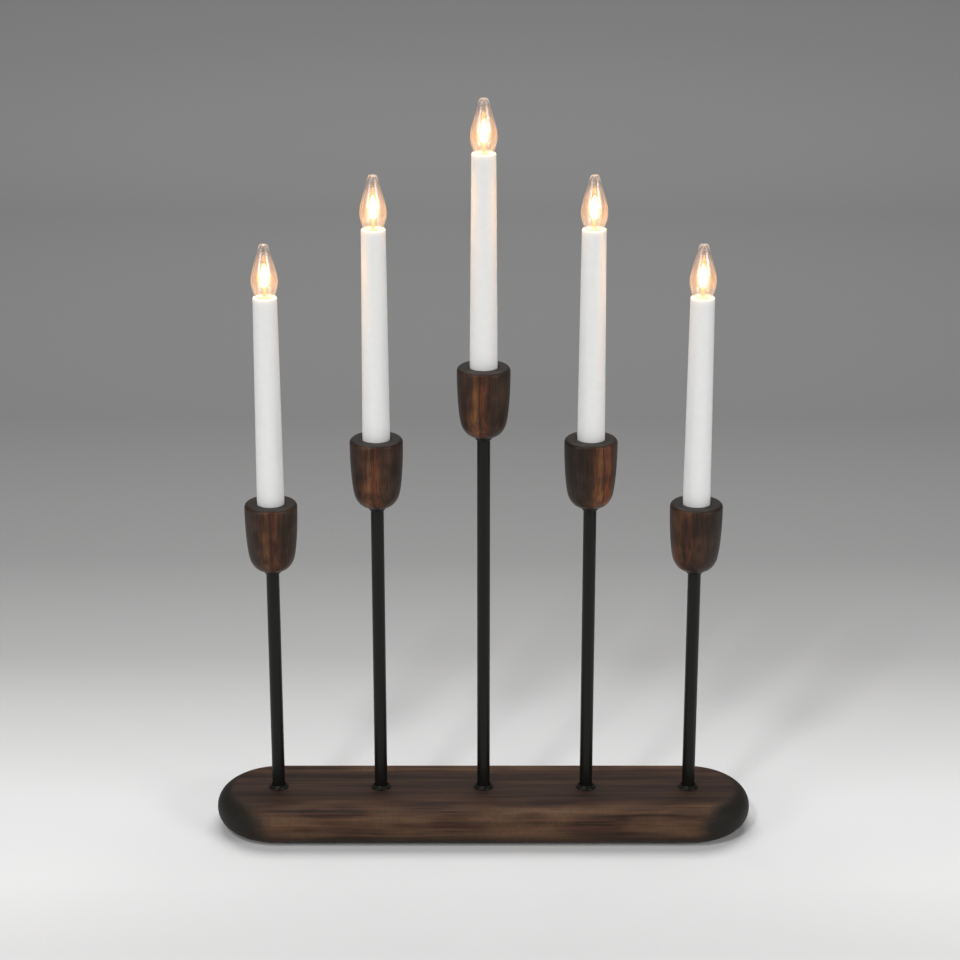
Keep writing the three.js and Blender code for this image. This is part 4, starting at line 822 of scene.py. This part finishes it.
for cell in (1, 2, 3):
    low, high = span(f"battery_{cell}")
    x, z = (low.x + high.x) / 2, (low.z + high.z) / 2
    direction = 1 if cell % 2 else -1
    foot, button = (low.y, high.y) if direction > 0 else (high.y, low.y)
    dress(lay(spin(f"cell_wrap_{cell}", WRAP, sides=64), x, foot, z, direction), "cell_can", "root",
          f"battery_{cell}")
    dress(lay(spin(f"cell_{cell}", CAN, sides=64), x, foot, z, direction), "spring_steel", "root")
    coil = []
    for i in range(int(SPRING_TURNS * TURN_STEPS) + 1):
        angle, share = 2 * math.pi * i / TURN_STEPS, i / (SPRING_TURNS * TURN_STEPS)
        radius = SPRING_FOOT + (SPRING_TIP - SPRING_FOOT) * share
        coil.append(Vector((radius * math.cos(angle), radius * math.sin(angle),
                            WIRE_RADIUS + (SPRING_LENGTH - 2 * WIRE_RADIUS) * share)))
    spring_foot = foot - direction * SPRING_LENGTH
    spring = lay(wire(f"cell_spring_{cell}", coil, WIRE_RADIUS), x, spring_foot, z, direction)
    dress(spring, "spring_steel", "root")
    dome_foot = button + direction * DOME_HEIGHT
    dome = lay(spin(f"cell_dome_{cell}", DOME, sides=32), x, dome_foot, z, -direction)
    dress(dome, "spring_steel", "root")

for name in ("contact_minus", "contact_bridge_1", "contact_bridge_2", "contact_plus"):
    low, high = span(name)
    wall = low.y if low.y < 0 and high.y < 0 else high.y
    inner = wall + (STRIP_THICKNESS if wall < 0 else -STRIP_THICKNESS)
    strip = block(f"{name}_strip", (low.x, min(wall, inner), low.z), (high.x, max(wall, inner), high.z))
    rounding = strip.modifiers.new("rounded corners", "BEVEL")
    rounding.width, rounding.segments = STRIP_ROUNDING * MM, 2
    dress(strip, "spring_steel", "root", name)
print("spring faces:", len(spring.data.polygons))

# %% [markdown]
# ## Door and slider
# The battery door is a moulded plate that turns on two pins. Six grooves at its free edge give the
# finger a hold. The switch's slider is a small finger with two notches across its tip, on a shoe
# that keeps it in the switch. Both get a narrow bevel, because a moulded edge is never quite sharp
# and catches a thin line of light.

# %% Door and slider
def soften(piece, width):
    """Takes the sharpness off the edges of a piece, by a width in millimetres."""
    bevel = piece.modifiers.new("soft edges", "BEVEL")
    bevel.width, bevel.segments, bevel.limit_method = width * MM, 2, "ANGLE"
    bevel.angle_limit = math.radians(40)


PIN_RADIUS, PIN_LENGTH, HINGE_RADIUS = 0.5, 1.3, 1.0
GRIP_GROOVES, GRIP_PITCH, GRIP_NEAR, GRIP_FAR, GRIP_HALF, GRIP_DEPTH = 6, 1.2, 2.8, 3.4, 6, 0.4
low, high = span("battery_door")
hinge_y, hinge_z = low.y + HINGE_RADIUS, low.z + HINGE_RADIUS
round_end = arc(hinge_y, hinge_z, HINGE_RADIUS, 90, 270, 16)
door = prism("door_plate", [*round_end, (high.y, low.z), (high.y, high.z)],
             low.x + PIN_LENGTH, high.x - PIN_LENGTH)
combine(door, "UNION", prism("pins", arc(hinge_y, hinge_z, PIN_RADIUS, 0, 345, 23), low.x, high.x))
middle = (low.x + high.x) / 2
grooves = [block("groove", (middle - GRIP_HALF, high.y - GRIP_FAR - i * GRIP_PITCH, low.z - 1),
                 (middle + GRIP_HALF, high.y - GRIP_NEAR - i * GRIP_PITCH, low.z + GRIP_DEPTH))
           for i in range(GRIP_GROOVES)]
combine(door, "DIFFERENCE", *grooves)
soften(door, 0.15)
dress(door, "black_plastic", "door", "battery_door")

SHOE_HEIGHT, NOTCH_DEPTH = 1, 0.35
low, high = span("switch_slider")
x, y = (low.x + high.x) / 2, (low.y + high.y) / 2
slider = centred("slider_finger", x, y, 1.3, 1.1, low.z, high.z - 0.3)
combine(slider, "UNION", block("shoe", (low.x, low.y, high.z - SHOE_HEIGHT), (high.x, high.y, high.z)))
notches = [centred("notch", x + shift, y, 0.25, 2, low.z - 1, low.z + NOTCH_DEPTH) for shift in (-0.5, 0.5)]
combine(slider, "DIFFERENCE", *notches)
soften(slider, 0.1)
dress(slider, "slider_plastic", "slider", "switch_slider")
print("door faces:", len(door.data.polygons), "slider faces:", len(slider.data.polygons))

# %% [markdown]
# ## Circuit board
# A small green board carries the timer chip with its eight legs, a capacitor and the steel body of
# the slide switch, which hangs below it. Each is a piece of its own, as it is soldered on.

# %% Circuit board
CIRCUIT_LOW, CIRCUIT_HIGH = 6.0, 7.6
CHIP_LOW, CHIP_TOP, LEG_PITCH, LEG_RADIUS = 0.1, 1.4, 1.27, 0.15
LEG = ((1.8, 0.7), (2.3, 0.7), (2.5, 0.6), (2.6, 0.3), (2.8, 0.15), (3.2, 0.15))
CAPACITOR_FOOT = [(0, 0), (1.9, 0), (2.0, 0.15), (1.9, 0.5), (2.0, 0.75)]
CAPACITOR_TOP = [(2.0, -0.25), (1.8, -0.03), (1.7, 0), (1.2, -0.08), (0, -0.1)]
low, high = span("circuit_board")
x = (low.x + high.x) / 2
length, width = high.x - low.x, high.y - low.y
laminate = block("laminate", (low.x, low.y, CIRCUIT_LOW), (high.x, high.y, CIRCUIT_HIGH))
soften(laminate, 0.15)
dress(laminate, "circuit_laminate", "root", "circuit_board")
chip_x, chip_y = x - length / 4, width / 4
chip = centred("timer_chip", chip_x, chip_y, 3, 2, CIRCUIT_HIGH + CHIP_LOW, CIRCUIT_HIGH + CHIP_TOP)
soften(chip, 0.25)
dress(chip, "black_plastic", "root")
for i in range(8):
    side, along_chip = (-1 if i < 4 else 1), chip_x + (i % 4 - 1.5) * LEG_PITCH
    leg = [Vector((along_chip, chip_y + side * out, CIRCUIT_HIGH + up)) for out, up in LEG]
    dress(wire(f"chip_leg_{i + 1}", leg, LEG_RADIUS, sides=8), "spring_steel", "root")
outline = [(r, CIRCUIT_HIGH + z) for r, z in CAPACITOR_FOOT] + [(r, high.z + z) for r, z in CAPACITOR_TOP]
capacitor = spin("capacitor", outline, x + length / 3, sides=32)
capacitor.data.transform(Matrix.Translation((0, -width / 4 * MM, 0)))
dress(capacitor, "zinc_steel", "root")
switch = centred("switch_body", x, 0, 6.5, 3.2, low.z, CIRCUIT_LOW + 0.2)
room = centred("room", x, 0, 4.6, 2.0, 3.5, 5.1)
slot = centred("slot", x, 0, 3.8, 1.4, low.z - 1, 4.5)
combine(switch, "DIFFERENCE", room, slot)
soften(switch, 0.15)
dress(switch, "zinc_steel", "root")
print("circuit board in mm:", round(length, 1), "by", round(width, 1))

# %% [markdown]
# ## Leads
# A round sheathed lead runs along the groove and through a cross hole near the foot of each tube,
# and a riser goes up each tube to its lamp holder. Two thin tails come from the battery box and
# one lead from the switch tray. Each is a smooth round length that ends in the trunk.

# %% Leads
TRUNK_RADIUS, RISER_RADIUS, TAIL_RADIUS, END_ROUNDING, END_GAP = 1.3, 1.2, 0.65, 0.2, 0.3


def upright_lead(name, x, bottom, top, radius):
    """A straight upright lead with slightly rounded ends."""
    outline = [(0, bottom), (radius - END_ROUNDING, bottom), (radius, bottom + END_ROUNDING),
               (radius, top - END_ROUNDING), (radius - END_ROUNDING, top), (0, top)]
    dress(spin(name, outline, x, sides=24), "lead_sheath", "root")


trunk = wire("lead_trunk", [Vector((x, 0, TRUNK_Z)) for x in arm_x.values()], TRUNK_RADIUS, sides=24)
dress(trunk, "lead_sheath", "root", "lead_loom")
for arm in ARMS:
    riser_top = span(f"lamp_holder_{arm}")[0].z - END_GAP
    upright_lead(f"lead_riser_{arm}", arm_x[arm], TRUNK_Z, riser_top, RISER_RADIUS)
for cell in (1, 3):
    cell_low, cell_high = span(f"battery_{cell}")
    tail_x = (cell_low.x + cell_high.x) / 2
    upright_lead(f"lead_tail_{cell}", tail_x, span("battery_box")[1].z + END_GAP, TRUNK_Z, TAIL_RADIUS)
tray_low, tray_high = span("switch_tray")
tray_x = (tray_low.x + tray_high.x) / 2
upright_lead("lead_to_circuit", tray_x, CIRCUIT_HIGH + END_GAP, TRUNK_Z, RISER_RADIUS)
print("leads:", len(ARMS) + 4)

# %% [markdown]
# ## What stays as in the construction model
# The felt, the battery box and the switch tray keep their shapes from the construction model and
# get a finish. A narrow bevel takes the sharpness off their edges, as on the door.

# %% Finishes on the carried-over pieces
CARRIED = {"felt_pad": "felt", "battery_box": "black_plastic", "switch_tray": "black_plastic"}
for name, slot in CARRIED.items():
    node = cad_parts[name]
    node.data.materials.clear()
    node.data.materials.append(finishes[slot])
    soften(node, 0.15)
print("carried over:", len(CARRIED))

# %% [markdown]
# ## Floor and backdrop
# The candle holder stands on a sheet of pale card that runs away behind it and darkens to a mid
# grey. The darkening is in the colour of the sheet, as a ramp over the distance behind the
# object, so that the light on the object can stay soft and even.

# %% Floor
FLOOR_NEAR, FLOOR_FAR = -0.16, 3.1
floor = block("floor", (-6000, -4000, -20), (6000, 8000, 0))
tree = new_tree("floor")
separate = add(tree, "SeparateXYZ", {0: add(tree, "TexCoord").outputs["Object"]})
behind = add(tree, "MapRange", {"Value": separate.outputs["Y"], "From Min": FLOOR_NEAR,
                                "From Max": FLOOR_FAR})
shade = add(tree, "ValToRGB", {"Fac": behind}, stops=[
    (0.0, "#E8E8E8"), (0.025, "#F2F2F2"), (0.06, "#EEEEEE"), (0.1, "#D6D6D6"), (0.13, "#BBBBBB"),
    (0.19, "#9F9F9F"), (0.3, "#8E8E8E"), (0.54, "#A6A6A6"), (1.0, "#FFFFFF")])
card = add(tree, "BsdfDiffuse", {"Color": shade})
add(tree, "OutputMaterial", {"Surface": card})
floor.data.materials.append(finishes["floor"])
floor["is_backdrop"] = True
print("card from", FLOOR_NEAR, "to", FLOOR_FAR, "m behind the object's middle")

# %% [markdown]
# ## Light
# A broad light above and behind does most of the work, and throws the dark soft shadow in front
# of the board. A soft box on each side of the camera, a little above the candles, lights their
# fronts. A smaller light high at the front left throws the faint shadows of the stems that run
# back to the right. The light of the surroundings is pale in front and dim behind, as in a studio,
# which keeps the black steel and the dark wood from turning grey. Where they are seen, straight, as
# a mirror image or through glass, they are an even grey, as a backdrop is.

# %% Lights
def soft_light(name, place, power, width, height, aim=(0, 0, 0.15)):
    """A rectangular soft light at a place in metres, turned towards a point on the object."""
    data = bpy.data.lights.new(name, "AREA")
    data.shape = "RECTANGLE"
    data.size, data.size_y, data.energy = width, height, power
    lamp = bpy.data.objects.new(name, data)
    lamp.location = place
    lamp.rotation_euler = (Vector(aim) - Vector(place)).to_track_quat("-Z", "Y").to_euler()
    bpy.context.scene.collection.objects.link(lamp)


soft_light("shadow_light", (-0.72, -1.5, 2.0), 14, 0.28, 0.28)
soft_light("left_light", (-1.75, -1.3, 0.95), 11.5, 0.9, 0.6)
soft_light("right_light", (1.75, -1.3, 0.95), 15.5, 0.9, 0.6)
soft_light("top_light", (0.0, 0.7, 2.0), 28, 1.8, 1.4)

PALE_FRONT, DIM_BACK, BACKDROP_GREY = 0.5, 0.1, 0.2
world = bpy.data.worlds.new("surroundings")
world.use_nodes = True
tree = world.node_tree
tree.nodes.clear()
direction = add(tree, "SeparateXYZ", {0: add(tree, "TexCoord").outputs["Generated"]})
along_floor = add(tree, "MapRange", {"Value": direction.outputs["Y"], "From Min": -1, "From Max": 1,
                                     "To Min": PALE_FRONT, "To Max": DIM_BACK})
near_floor = add(tree, "Math", {0: 1.0, 1: direction.outputs["Z"]}, operation="SUBTRACT")
strength = add(tree, "Math", {0: along_floor, 1: near_floor}, operation="MULTIPLY")
path = add(tree, "LightPath")
mirrored = add(tree, "Math", {0: path.outputs["Is Glossy Ray"], 1: path.outputs["Is Transmission Ray"]},
               operation="MAXIMUM")
looking = add(tree, "Math", {0: path.outputs["Is Camera Ray"], 1: mirrored}, operation="MAXIMUM")
seen = add(tree, "Mix", {0: looking, 2: strength, 3: BACKDROP_GREY}, data_type="FLOAT")
background = add(tree, "Background", {"Color": (1, 1, 1, 1), "Strength": seen})
add(tree, "OutputWorld", {"Surface": background})
bpy.context.scene.world = world

# %% [markdown]
# ## Size and end
# The size of the dressed model is printed.

# %% Size
low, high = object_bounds()
print("visual size in mm:", [round(v / MM, 1) for v in high - low])
